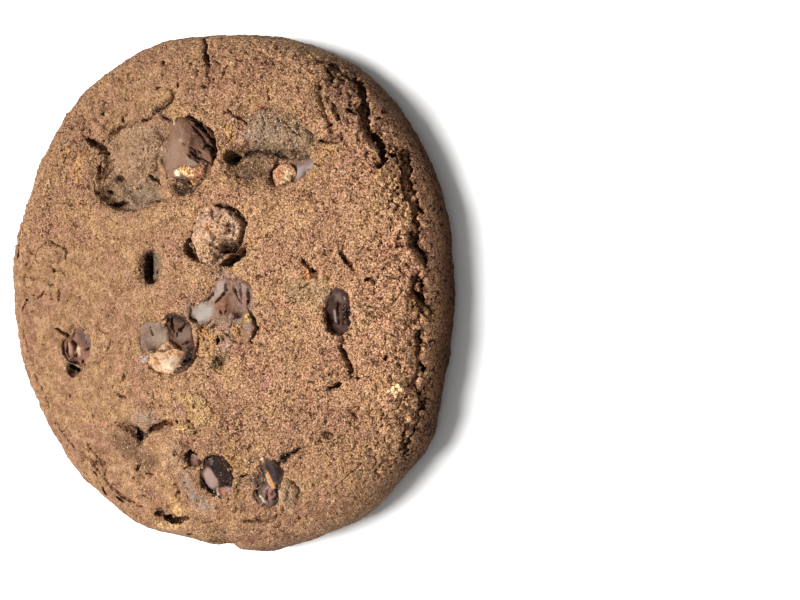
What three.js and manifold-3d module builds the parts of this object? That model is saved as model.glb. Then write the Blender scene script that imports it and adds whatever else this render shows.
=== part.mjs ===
// A brownie cookie: a thick, soft cocoa cookie with chocolate chips, split open along one side of
// its rim. Millimetres, +Z up. The origin is the centre of the flat underside.

import * as THREE from 'three';
import { mergeVertices } from 'three/addons/utils/BufferGeometryUtils.js';
import { ImprovedNoise } from 'three/addons/math/ImprovedNoise.js';
import Module from 'manifold-3d';

const wasm = await Module();
wasm.setup();
const noise = new ImprovedNoise();

// Driving dimensions.
const meanRadius = 39.3;
const cookieHeight = 15.5;

// The air left round every chip, between two pieces that meet, and the finest sliver that is kept.
const chipGap = 0.4;
const pieceGap = 0.3;
const sliver = 0.07;

// The outline is a circle with a few slow lobes: how many, how far they swell, where they peak.
const outlineLobes = [
  { count: 1, swell: 0.94, turn: 9 },
  { count: 2, swell: 2.0, turn: 97 },
  { count: 3, swell: 0.43, turn: -57 },
  { count: 4, swell: 0.46, turn: 43 },
  { count: 5, swell: 0.3, turn: -34 },
  { count: 6, swell: 0.24, turn: 2 },
];

// Short places where the edge ran out a little on the tray: where, half width in degrees, reach.
const outlineBulges = [
  { turn: -80, width: 7, reach: 1.0 },
  { turn: -34, width: 9, reach: 0.9 },
];

// The side view from the middle of the top to the edge of the base: shares of radius and height.
const sideShape = [
  [0, 1],
  [0.35, 0.99],
  [0.62, 0.96],
  [0.78, 0.915],
  [0.89, 0.82],
  [0.955, 0.66],
  [0.99, 0.44],
  [1, 0.23],
  [0.985, 0.08],
  [0.95, 0],
];
const shoulderShare = 0.89;

// How finely the ball is divided that becomes the dough, and how its facets are shared out between
// the top and the base; the wall has the rest.
const bodyDetail = 15;
const topFacets = 0.57;
const baseFacets = 0.09;

// Slow unevenness of the crust: size of the swells and how far they stand out.
const crustSwells = [
  { size: 9, rise: 0.4 },
  { size: 4, rise: 0.22 },
];

// Low hollows and mounds of the top: middle, half widths, turn of the ellipse, rise, and the share
// of the half width out to which the full rise holds.
const crustForms = [
  { at: [-7.2, 19.6], half: [11.2, 7.8], turn: 4, rise: -1.9, flat: 0.62 },
  { at: [-10.2, 20.6], half: [5.4, 5.2], turn: 0, rise: 1.0, flat: 0.2 },
  { at: [-12.6, 14.4], half: [4.4, 2.0], turn: -18, rise: -1.0, flat: 0.2 },
  { at: [12.0, 20.4], half: [8.4, 6.6], turn: 0, rise: -1.6, flat: 0.6 },
  { at: [12.6, 22.9], half: [6.6, 3.2], turn: -6, rise: 1.5, flat: 0.3 },
  { at: [-7.3, 3.8], half: [2.9, 4.0], turn: 0, rise: -0.9, flat: 0.1 },
  { at: [-8.6, -18.4], half: [4.0, 2.6], turn: 0, rise: 0.5, flat: 0.2 },
  { at: [-9.6, -21.8], half: [5.4, 2.4], turn: -8, rise: -0.9, flat: 0.2 },
  { at: [-4.2, -23.6], half: [2.8, 3.4], turn: 0, rise: 0.6, flat: 0.2 },
  { at: [15.0, -29.8], half: [2.4, 2.8], turn: 0, rise: 0.8, flat: 0.2 },
  { at: [0.5, -31.0], half: [6.0, 4.4], turn: 20, rise: -0.5, flat: 0.2 },
  { at: [21.4, 28.6], half: [4.4, 5.6], turn: 25, rise: -0.7, flat: 0.2 },
];

// Cracks of the crust: the way along the top, the greatest width, the depth, and a seed for the
// raggedness of the edges.
const cracks = [
  { way: [[14.5, 35.3], [18.5, 34.6], [21.6, 32.8], [24.4, 31.0]], width: 1.5, depth: 2.2, seed: 11 },
  { way: [[24.0, 32.0], [25.8, 28.3], [26.3, 25.4], [27.4, 22.8], [30.2, 20.3]], width: 2.5, depth: 2.8, seed: 12 },
  { way: [[31.4, 21.6], [32.1, 18.0], [32.5, 15.4], [33.7, 12.2], [34.0, 9.0]], width: 1.8, depth: 2.5, seed: 13 },
  { way: [[33.9, 9.6], [33.7, 6.8], [34.8, 4.4], [35.3, 2.6]], width: 1.3, depth: 2.2, seed: 14 },
  { way: [[34.6, 3.4], [34.1, 0.8], [34.7, -1.6], [36.0, -4.8]], width: 1.6, depth: 2.2, seed: 15 },
  { way: [[34.8, -5.2], [34.3, -9.0], [34.4, -11.6], [33.4, -13.8]], width: 1.4, depth: 2.2, seed: 16 },
  { way: [[33.3, -12.6], [34.2, -16.2], [32.8, -19.8], [30.8, -24.6]], width: 1.6, depth: 2.2, seed: 17 },
  { way: [[19.6, 32.4], [19.6, 28.6], [21.2, 25.2], [22.6, 22.2]], width: 0.9, depth: 1.2, seed: 18 },
  { way: [[18.9, 22.4], [20.4, 22.1], [22.2, 22.2], [23.8, 22.9]], width: 1.0, depth: 1.8, seed: 19 },
  { way: [[0.2, 38.3], [0.5, 36.2], [1.7, 34.2], [1.4, 32.0]], width: 1.0, depth: 1.8, seed: 20 },
  { way: [[-20.2, 24.4], [-17.6, 23.0], [-15.4, 21.4]], width: 1.2, depth: 1.6, seed: 21 },
  { way: [[-3.4, 31.0], [-4.6, 28.6], [-7.4, 27.2]], width: 1.0, depth: 1.4, seed: 22 },
  { way: [[5.0, 20.3], [9.0, 20.6], [13.4, 20.2], [17.6, 19.8]], width: 1.5, depth: 1.4, seed: 23 },
  { way: [[23.3, -5.8], [23.4, -8.2], [24.4, -9.4], [25.3, -12.0]], width: 0.8, depth: 1.6, seed: 24 },
  { way: [[21.2, -14.6], [22.6, -14.2], [24.2, -13.6]], width: 0.7, depth: 1.2, seed: 25 },
  { way: [[17.6, 5.2], [18.9, 3.2], [20.1, 1.4]], width: 1.0, depth: 1.4, seed: 26 },
  { way: [[-13.6, -20.6], [-11.4, -21.6], [-9.2, -23.0]], width: 1.3, depth: 1.5, seed: 27 },
  { way: [[-9.4, -22.2], [-7.0, -21.2], [-4.2, -20.2]], width: 0.7, depth: 1.0, seed: 28 },
  { way: [[13.4, -26.2], [14.6, -24.8], [16.6, -23.8], [19.4, -23.0]], width: 1.2, depth: 1.6, seed: 29 },
  { way: [[5.8, -27.0], [7.4, -27.3], [9.2, -27.1]], width: 0.9, depth: 1.4, seed: 30 },
  { way: [[-8.4, -34.0], [-5.8, -35.3], [-2.2, -35.1]], width: 1.4, depth: 2.2, seed: 31 },
  { way: [[-24.8, -5.6], [-23.2, -6.4], [-21.2, -7.6]], width: 0.7, depth: 1.2, seed: 32 },
];

// How the cracks are cut: length of a step, how far the cutter stands over the crust, how ragged
// its edges are, how narrow it starts, and how near to its ends it is measured.
const crackPitch = 1.25;
const crackCrown = 0.8;
const crackRagged = 0.35;
const crackPinch = 0.25;
const crackTip = 0.02;

// Round holes and pits: middle, half sizes, depth is the third.
const holes = [
  { at: [-7.5, 3.6], size: [1.2, 2.6, 5.0], seed: 41 },
  { at: [5.6, 20.2], size: [1.2, 1.0, 2.2], seed: 42 },
  { at: [-0.9, -24.9], size: [1.3, 1.1, 2.0], seed: 43 },
  { at: [21.4, -21.2], size: [1.1, 0.9, 1.6], seed: 44 },
  { at: [-21.3, -12.4], size: [1.1, 1.0, 2.2], seed: 45 },
  { at: [4.3, -11.2], size: [1.3, 1.2, 1.0], seed: 46 },
];

// Colours of what the cookie is made of.
const doughColour = '#b2866a';
const chocolateColour = '#5c3d31';
const paleCrumbColour = '#d6ad82';
const meltColour = '#94766a';
const crumbColour = '#c08f62';

// Lumps are balls made a little square and knobbly: the power of their roundness, how far the
// knobs stand out, and how fine they are. A socket is opened upwards by its last value.
const lumpSquareness = 2.5;
const lumpKnobs = 0.16;
const lumpKnobPitch = 1.9;
const socketOpening = 3;

// Chips, chunks and large crumbs set in the top. Each is one or more lumps: middle, half sizes,
// turn, and how far its highest point stands over the crust. lean is the way that its socket
// opens wider on one side.
const inclusions = [
  {
    name: 'chunk_northwest',
    colour: '#8a6a5c',
    roughness: 0.5,
    lumps: [{ at: [-1.9, 21.2], size: [4.1, 4.0, 2.4], turn: -30, rise: 1.4, seed: 51 }],
    detail: 3,
    lean: [0.5, 0.1],
  },
  {
    name: 'melt_northeast',
    colour: meltColour,
    roughness: 0.4,
    lumps: [
      { at: [16.2, 18.0], size: [2.7, 1.3, 1.1], turn: 14, rise: 0.9, seed: 52 },
      { at: [13.1, 17.3], size: [1.6, 1.5, 1.0], turn: 40, rise: 0.5, seed: 53 },
    ],
    detail: 2,
  },
  {
    name: 'chip_centre',
    colour: '#a67f62',
    roughness: 0.8,
    lumps: [{ at: [3.9, 8.6], size: [3.7, 4.3, 2.3], turn: 12, rise: 0.7, seed: 54 }],
    detail: 3,
    lean: [0.35, -0.2],
  },
  {
    name: 'melt_centre',
    colour: meltColour,
    roughness: 0.4,
    lumps: [
      { at: [1.2, -3.6], size: [2.7, 1.6, 1.1], turn: 20, rise: 0.4, seed: 55 },
      { at: [4.6, -1.4], size: [2.2, 2.1, 1.2], turn: 40, rise: 0.5, seed: 56 },
      { at: [7.6, -0.9], size: [1.6, 2.5, 1.1], turn: -8, rise: 0.4, seed: 57 },
    ],
    detail: 2,
  },
  {
    name: 'chip_melt',
    colour: '#9a7050',
    roughness: 0.7,
    lumps: [{ at: [8.2, -5.9], size: [1.8, 1.8, 1.3], turn: 0, rise: 0.6, seed: 58 }],
    detail: 2,
    lean: [0.2, 0],
  },
  {
    name: 'crumb_gold',
    colour: crumbColour,
    roughness: 0.95,
    lumps: [
      { at: [2.2, -8.1], size: [1.6, 2.2, 1.4], turn: 0, rise: 1.0, seed: 59 },
      { at: [4.0, -6.5], size: [1.1, 1.1, 1.0], turn: 0, rise: 0.7, seed: 60 },
    ],
    detail: 2,
  },
  {
    name: 'chip_cluster',
    colour: chocolateColour,
    roughness: 0.45,
    lumps: [
      { at: [-2.6, -5.9], size: [2.0, 2.2, 1.6], turn: 0, rise: 0.7, seed: 61 },
      { at: [-1.3, -9.3], size: [1.2, 2.1, 1.5], turn: 10, rise: 0.6, seed: 62 },
    ],
    detail: 2,
    lean: [0.1, 0.1],
  },
  {
    name: 'melt_cluster',
    colour: meltColour,
    roughness: 0.4,
    lumps: [{ at: [-7.1, -6.9], size: [2.1, 2.1, 1.1], turn: 8, rise: 0.4, seed: 63 }],
    detail: 2,
  },
  {
    name: 'crumb_cream',
    colour: paleCrumbColour,
    roughness: 0.95,
    lumps: [{ at: [-5.0, -10.6], size: [2.3, 1.5, 1.4], turn: 20, rise: 1.1, seed: 64 }],
    detail: 2,
  },
  {
    name: 'chip_east',
    colour: '#3d2720',
    roughness: 0.4,
    lumps: [{ at: [23.0, -2.9], size: [1.5, 3.2, 1.8], turn: 2, rise: 0.4, seed: 65 }],
    detail: 2,
    lean: [0, -0.2],
  },
  {
    name: 'chip_west',
    colour: '#7d5748',
    roughness: 0.5,
    lumps: [{ at: [-20.5, -8.9], size: [1.9, 2.8, 1.7], turn: -12, rise: 0.4, seed: 66 }],
    detail: 2,
    lean: [-0.2, -0.1],
  },
  {
    name: 'chip_south',
    colour: chocolateColour,
    roughness: 0.35,
    lumps: [{ at: [3.4, -28.0], size: [2.0, 2.9, 1.9], turn: 22, rise: 0.8, seed: 67 }],
    detail: 2,
    lean: [-0.3, 0.1],
  },
  {
    name: 'chip_southeast',
    colour: chocolateColour,
    roughness: 0.4,
    lumps: [
      { at: [12.5, -26.9], size: [1.4, 2.3, 1.6], turn: -14, rise: 0.8, seed: 68 },
      { at: [11.7, -30.4], size: [1.5, 1.6, 1.5], turn: 0, rise: 0.5, seed: 69 },
    ],
    detail: 2,
    lean: [-0.2, 0],
  },
  {
    name: 'chip_small',
    colour: chocolateColour,
    roughness: 0.45,
    lumps: [{ at: [-0.2, -26.4], size: [0.8, 0.8, 0.9], turn: 0, rise: -0.2, seed: 70 }],
    detail: 1,
  },
];

// A ball of baked crumb that lies on the melted chocolate of the hollow on the north-east.
const crumbBall = { at: [13.9, 16.9], radius: 1.25, rise: 2.3, seed: 71 };

// Chocolate that melted flush with the tray: middle, half sizes, turn.
const baseMelts = [
  { name: 'base_melt_a', at: [-8, -3], size: [4.2, 2.6, 1.6], turn: 25, seed: 81 },
  { name: 'base_melt_b', at: [9, 7], size: [5.4, 2.2, 1.6], turn: -20, seed: 82 },
  { name: 'base_melt_c', at: [3, -21], size: [2.6, 3.4, 1.6], turn: 10, seed: 83 },
];
const baseMeltLevel = 0.2;

// ---- helpers ----

const degrees = THREE.MathUtils.degToRad;
const fade = THREE.MathUtils.smoothstep;

function seededRandom(seed) {
  let state = seed;
  return () => {
    state = (state * 16807) % 2147483647;
    return state / 2147483647;
  };
}

function solidOf(geometry) {
  const bare = geometry.clone();
  bare.deleteAttribute('normal');
  bare.deleteAttribute('uv');
  const merged = mergeVertices(bare, 1e-4);
  return new wasm.Manifold(new wasm.Mesh({
    numProp: 3,
    vertProperties: merged.attributes.position.array,
    triVerts: Uint32Array.from(merged.index.array),
  }));
}

function geometryOf(solid) {
  const mesh = solid.getMesh();
  const geometry = new THREE.BufferGeometry();
  geometry.setAttribute('position', new THREE.BufferAttribute(mesh.vertProperties, 3));
  geometry.setIndex(new THREE.BufferAttribute(mesh.triVerts, 1));
  geometry.computeVertexNormals();
  return geometry;
}

function joined(solids) {
  return solids.reduce((whole, solid) => whole.add(solid));
}

// Cutting can free small scraps and leave slivers: the largest body is kept, without its slivers.
function cleanBody(solid) {
  const whole = solid.asOriginal().simplify(sliver);
  return whole.decompose().reduce((best, body) => (body.volume() > best.volume() ? body : best));
}

function reshape(geometry, place) {
  const position = geometry.attributes.position;
  const point = new THREE.Vector3();
  for (let i = 0; i < position.count; i += 1) {
    point.fromBufferAttribute(position, i);
    const moved = place(point);
    position.setXYZ(i, moved.x, moved.y, moved.z);
  }
  return geometry;
}

// ---- the surface of the cookie ----

function outlineRadius(turn) {
  let radius = meanRadius;
  for (const lobe of outlineLobes) {
    radius += lobe.swell * Math.cos(lobe.count * (turn - degrees(lobe.turn)));
  }
  for (const bulge of outlineBulges) {
    const away = Math.abs(turn - degrees(bulge.turn)) / degrees(bulge.width);
    radius += bulge.reach * (1 - fade(away, 0, 1));
  }
  return radius;
}

const sidePoints = sideShape.map(([r, h]) => new THREE.Vector2(r * meanRadius, h * cookieHeight));
const sideCurve = new THREE.SplineCurve(sidePoints);
const sideSamples = sideCurve.getSpacedPoints(400);
const shoulderIndex = sideSamples.findIndex((p) => p.x >= shoulderShare * meanRadius);
const widestIndex = sideSamples.reduce((best, p, i) => (p.x > sideSamples[best].x ? i : best), 0);
const baseRadius = sidePoints[sidePoints.length - 1].x;

function domeHeight(radius) {
  let i = 1;
  while (i < widestIndex && sideSamples[i].x < radius) {
    i += 1;
  }
  const inner = sideSamples[i - 1];
  const outer = sideSamples[i];
  const share = THREE.MathUtils.clamp((radius - inner.x) / (outer.x - inner.x), 0, 1);
  return inner.y + share * (outer.y - inner.y);
}

function crustForm(x, y) {
  let rise = 0;
  for (const form of crustForms) {
    const turn = degrees(form.turn);
    const dx = x - form.at[0];
    const dy = y - form.at[1];
    const u = (dx * Math.cos(turn) + dy * Math.sin(turn)) / form.half[0];
    const v = (dy * Math.cos(turn) - dx * Math.sin(turn)) / form.half[1];
    rise += form.rise * (1 - fade(Math.hypot(u, v), form.flat, 1));
  }
  return rise;
}

function crustSwell(x, y, z) {
  let rise = 0;
  for (const swell of crustSwells) {
    rise += swell.rise * noise.noise(x / swell.size, y / swell.size, z / swell.size + swell.size);
  }
  return rise;
}

function surfaceHeight(x, y) {
  const spread = outlineRadius(Math.atan2(y, x)) / meanRadius;
  const z = domeHeight(Math.hypot(x, y) / spread);
  return z + crustForm(x, y) + crustSwell(x, y, z);
}

function surfaceNormal(x, y) {
  const step = 0.5;
  const slopeX = (surfaceHeight(x + step, y) - surfaceHeight(x - step, y)) / (2 * step);
  const slopeY = (surfaceHeight(x, y + step) - surfaceHeight(x, y - step)) / (2 * step);
  return new THREE.Vector3(-slopeX, -slopeY, 1).normalize();
}

// ---- the dough ----

// Spreads a ball over the cookie: its cap on the dome, its belt on the wall, its foot on the base.
function doughPoint(direction) {
  const turn = Math.atan2(direction.y, direction.x);
  const spread = outlineRadius(turn) / meanRadius;
  const share = (1 - direction.z) / 2;
  const outward = (radius, z) => {
    const r = radius * spread;
    return new THREE.Vector3(r * Math.cos(turn), r * Math.sin(turn), z);
  };
  if (share > 1 - baseFacets) {
    return outward(baseRadius * Math.sqrt((1 - share) / baseFacets), 0);
  }
  if (share < topFacets) {
    const radius = sideSamples[shoulderIndex].x * Math.sqrt(share / topFacets);
    const point = outward(radius, domeHeight(radius));
    point.z += crustForm(point.x, point.y) + crustSwell(point.x, point.y, point.z);
    return point;
  }
  const down = (share - topFacets) / (1 - topFacets - baseFacets);
  const index = shoulderIndex + down * (sideSamples.length - 1 - shoulderIndex);
  const lower = Math.floor(index);
  const upper = Math.min(lower + 1, sideSamples.length - 1);
  const side = sideSamples[lower].clone().lerp(sideSamples[upper], index - lower);
  const point = outward(side.x, side.y);
  const swell = crustSwell(point.x, point.y, point.z) * fade(side.y, 0, 2);
  const upShare = 1 - fade(down, 0, 0.5);
  point.x += swell * Math.cos(turn) * (1 - upShare);
  point.y += swell * Math.sin(turn) * (1 - upShare);
  point.z += (swell + crustForm(point.x, point.y)) * upShare;
  return point;
}

// A ragged wedge that follows the crust along a crack, pinched out at both ends.
function crackSections(crack, steps) {
  const random = seededRandom(crack.seed);
  const uneven = (share) => 1 + share * (2 * random() - 1);
  const path = new THREE.CatmullRomCurve3(crack.way.map(([x, y]) => new THREE.Vector3(x, y, 0)));
  const sections = [];
  for (let i = 0; i <= steps; i += 1) {
    const along = THREE.MathUtils.clamp(i / steps, crackTip, 1 - crackTip);
    const point = path.getPointAt(along);
    const ahead = path.getTangentAt(along);
    const normal = surfaceNormal(point.x, point.y);
    const side = new THREE.Vector3().crossVectors(normal, ahead).normalize();
    const taper = THREE.MathUtils.lerp(crackPinch, 1, Math.sqrt(Math.sin(Math.PI * along)));
    const depth = crack.depth * taper;
    const half = 0.5 * crack.width * taper * (1 + crackCrown / depth);
    const crust = new THREE.Vector3(point.x, point.y, surfaceHeight(point.x, point.y));
    const crown = crust.clone().addScaledVector(normal, crackCrown);
    sections.push([
      crown.clone().addScaledVector(side, -half * uneven(crackRagged)),
      crown.clone().addScaledVector(side, half * uneven(crackRagged)),
      crust.addScaledVector(normal, -depth * uneven(0.5 * crackRagged)),
    ]);
  }
  return sections;
}

// A three-sided rod: each of its rings becomes one section of the wedge.
function crackCutter(crack) {
  const corners = 3;
  const length = crack.way.slice(1).reduce((sum, [x, y], i) => (
    sum + Math.hypot(x - crack.way[i][0], y - crack.way[i][1])
  ), 0);
  const steps = Math.max(3, Math.round(length / crackPitch));
  const sections = crackSections(crack, steps);
  const rod = new THREE.CylinderGeometry(1, 1, 1, corners, steps);
  return solidOf(reshape(rod, (p) => {
    const section = sections[Math.round((0.5 - p.y) * steps)];
    if (Math.hypot(p.x, p.z) < 0.5) {
      return section.reduce((sum, corner) => sum.add(corner), new THREE.Vector3()).divideScalar(corners);
    }
    const turn = Math.atan2(p.x, p.z) / (2 * Math.PI);
    return section[Math.round(turn * corners + corners) % corners];
  }));
}

// A lump of chocolate or crumb, set in place. grow adds to its half sizes, open stretches its
// upper half to clear the crust, and shift moves it along the top.
function lumpSolid(lump, detail, { grow = 0, open = 1, shift = [0, 0] } = {}) {
  const [a, b, c] = lump.size;
  const turn = degrees(lump.turn ?? 0);
  const level = lump.level ?? surfaceHeight(...lump.at) + lump.rise - c;
  return solidOf(reshape(new THREE.IcosahedronGeometry(1, detail), (p) => {
    const power = [p.x, p.y, p.z].reduce((sum, v) => sum + Math.abs(v) ** lumpSquareness, 0);
    const [u, v, w] = [p.x, p.y, p.z].map((value) => value * lumpKnobPitch);
    const knob = 1 + lumpKnobs * noise.noise(u + lump.seed, v, w + lump.seed);
    const reach = knob / power ** (1 / lumpSquareness);
    const x = p.x * (reach * a + grow);
    const y = p.y * (reach * b + grow);
    const z = p.z * (reach * c + grow) * (p.z > 0 ? open : 1);
    return new THREE.Vector3(
      lump.at[0] + shift[0] + x * Math.cos(turn) - y * Math.sin(turn),
      lump.at[1] + shift[1] + x * Math.sin(turn) + y * Math.cos(turn),
      level + z,
    );
  }));
}

function inclusionSolid(piece, options) {
  return joined(piece.lumps.map((lump) => lumpSolid(lump, piece.detail, options)));
}

function socketSolid(piece) {
  const lean = piece.lean ?? [0, 0];
  const grow = chipGap + Math.hypot(...lean);
  const coarse = { ...piece, detail: Math.min(piece.detail, 2) };
  return inclusionSolid(coarse, { grow, open: socketOpening, shift: lean });
}

function holeSolid(hole) {
  return lumpSolid({ ...hole, level: surfaceHeight(...hole.at) }, 1);
}

// The chocolate on the base is a ball cut flat just inside the tray side.
function baseMeltSolid(melt) {
  const ball = lumpSolid({ ...melt, level: baseMeltLevel }, 2);
  const slab = new THREE.BoxGeometry(4 * meanRadius, 4 * meanRadius, cookieHeight);
  slab.translate(0, 0, baseMeltLevel - cookieHeight / 2);
  return ball.subtract(solidOf(slab));
}

function baseSocketSolid(melt) {
  return lumpSolid({ ...melt, level: baseMeltLevel }, 2, { grow: chipGap });
}

function crumbBallSolid(options = {}) {
  return lumpSolid({ ...crumbBall, size: Array(3).fill(crumbBall.radius) }, 2, options);
}

function doughSolid() {
  const ball = new THREE.IcosahedronGeometry(1, bodyDetail);
  let dough = solidOf(reshape(ball, doughPoint));
  const cutters = [
    ...cracks.map(crackCutter),
    ...inclusions.map(socketSolid),
    ...holes.map(holeSolid),
    ...baseMelts.map(baseSocketSolid),
    crumbBallSolid({ grow: chipGap }),
  ];
  for (const cutter of cutters) {
    dough = dough.subtract(cutter);
  }
  return cleanBody(dough);
}

// ---- the whole cookie ----

const cookie = new THREE.Group();
cookie.name = 'brownie_cookie';

function addPiece(name, solid, colour, roughness) {
  const material = new THREE.MeshStandardMaterial({ color: colour, roughness, metalness: 0 });
  const piece = new THREE.Mesh(geometryOf(solid), material);
  piece.name = name;
  cookie.add(piece);
}

addPiece('cookie_dough', doughSolid(), doughColour, 0.95);

const ballClearance = crumbBallSolid({ grow: pieceGap });
const placed = [];
for (const piece of inclusions) {
  let solid = inclusionSolid(piece).subtract(ballClearance);
  for (const neighbour of placed) {
    solid = solid.subtract(neighbour);
  }
  addPiece(piece.name, cleanBody(solid), piece.colour, piece.roughness);
  placed.push(inclusionSolid(piece, { grow: pieceGap }));
}

addPiece('crumb_ball', crumbBallSolid(), '#cf9a6c', 0.95);

for (const melt of baseMelts) {
  addPiece(melt.name, baseMeltSolid(melt), chocolateColour, 0.5);
}

export default cookie;
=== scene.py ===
import bpy
import math
import numpy as np
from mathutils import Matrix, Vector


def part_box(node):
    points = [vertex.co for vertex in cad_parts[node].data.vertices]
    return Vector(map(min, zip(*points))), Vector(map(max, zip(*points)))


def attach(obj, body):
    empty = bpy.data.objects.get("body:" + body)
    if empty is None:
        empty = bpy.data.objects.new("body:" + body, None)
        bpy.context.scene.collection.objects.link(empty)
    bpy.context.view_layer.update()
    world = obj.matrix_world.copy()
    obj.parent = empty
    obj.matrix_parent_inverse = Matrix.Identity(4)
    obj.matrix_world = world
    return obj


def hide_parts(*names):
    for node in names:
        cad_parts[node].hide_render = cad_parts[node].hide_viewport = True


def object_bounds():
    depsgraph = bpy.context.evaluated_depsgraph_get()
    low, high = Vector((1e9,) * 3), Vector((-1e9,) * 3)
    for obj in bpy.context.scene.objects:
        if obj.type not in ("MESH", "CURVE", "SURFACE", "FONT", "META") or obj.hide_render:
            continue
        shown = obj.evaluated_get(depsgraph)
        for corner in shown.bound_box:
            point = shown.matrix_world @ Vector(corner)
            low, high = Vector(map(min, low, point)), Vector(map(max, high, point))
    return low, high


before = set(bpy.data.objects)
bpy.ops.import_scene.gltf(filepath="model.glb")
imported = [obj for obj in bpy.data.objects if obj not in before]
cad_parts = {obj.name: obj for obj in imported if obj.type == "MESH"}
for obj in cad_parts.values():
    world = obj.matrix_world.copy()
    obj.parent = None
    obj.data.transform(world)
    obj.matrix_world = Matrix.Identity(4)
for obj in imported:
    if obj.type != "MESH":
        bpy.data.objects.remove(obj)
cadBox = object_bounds()
mm = 0.001


# camera, light and floor

studio = {
    "cameraAt": (0.0902, -0.0014, 0.1920),
    "cameraLean": 18.0,
    "lens": 58.4,
    "keyAt": (-0.30, -0.02, 0.58),
    "keySize": 0.34,
    "keyPower": 8.15,
    "fillAt": (0.0, -0.10, 0.70),
    "fillSize": 0.8,
    "fillPower": 0.95,
    "skyStrength": 0.16,
    "floorSize": 4.0,
    "floorColour": (250, 250, 249),
    "floorRoughness": 0.9,
    "nearestView": 0.01,
}

# what every surface of the cookie shares: how much of a colour its paint keeps, and its shine
paintShare = 0.60
shine = 0.12


def linear(colour):
    # sRGB 0-255 to the linear colour that a shader wants
    return tuple((c / 255 / 12.92) if c < 11 else ((c / 255 + 0.055) / 1.055) ** 2.4 for c in colour)


def tone(*colour):
    # the paint that looks like this colour under the studio light
    return tuple(c * paintShare for c in linear(colour))


def addAreaLight(name, at, size, power):
    bpy.ops.object.light_add(type="AREA", location=at)
    light = bpy.context.active_object
    light.name = name
    light.data.shape = "DISK"
    light.data.size = size
    light.data.energy = power
    middle = (cadBox[0] + cadBox[1]) / 2
    light.rotation_euler = (light.location - middle).to_track_quat("Z", "Y").to_euler()


def buildStudio():
    scene = bpy.context.scene
    bpy.ops.object.camera_add(location=studio["cameraAt"], rotation=(0, math.radians(studio["cameraLean"]), 0))
    camera = bpy.context.active_object
    camera.data.lens = studio["lens"]
    camera.data.clip_start = studio["nearestView"]
    scene.camera = camera
    addAreaLight("keyLight", studio["keyAt"], studio["keySize"], studio["keyPower"])
    addAreaLight("fillLight", studio["fillAt"], studio["fillSize"], studio["fillPower"])
    world = bpy.data.worlds.new("studioSky")
    world.use_nodes = True
    sky = world.node_tree.nodes["Background"]
    sky.inputs["Color"].default_value = (1, 1, 1, 1)
    sky.inputs["Strength"].default_value = studio["skyStrength"]
    scene.world = world
    scene.view_settings.view_transform = "Standard"
    bpy.ops.mesh.primitive_plane_add(size=studio["floorSize"], location=(0, 0, 0))
    floor = bpy.context.active_object
    floor.name = "studioFloor"
    paint = bpy.data.materials.new("floorPaint")
    paint.use_nodes = True
    shader = paint.node_tree.nodes["Principled BSDF"]
    shader.inputs["Base Color"].default_value = (*linear(studio["floorColour"]), 1)
    shader.inputs["Roughness"].default_value = studio["floorRoughness"]
    floor.data.materials.append(paint)


buildStudio()
print("studio ready")


# shader writing: a wrapped socket does its own sums

class Wire:
    def __init__(self, ink, socket):
        self.ink = ink
        self.socket = socket

    def sum(self, operation, other, swapped=False):
        pair = [other, self] if swapped else [self, other]
        return self.ink.node("ShaderNodeMath", {"operation": operation}, pair)["Value"]

    def __add__(self, other):
        return self.sum("ADD", other)

    def __sub__(self, other):
        return self.sum("SUBTRACT", other)

    def __rsub__(self, other):
        return self.sum("SUBTRACT", other, True)

    def __mul__(self, other):
        return self.sum("MULTIPLY", other)

    __radd__ = __add__
    __rmul__ = __mul__


class Outputs:
    def __init__(self, ink, node):
        self.ink = ink
        self.node = node

    def __getitem__(self, name):
        return Wire(self.ink, self.node.outputs[name])


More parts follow.
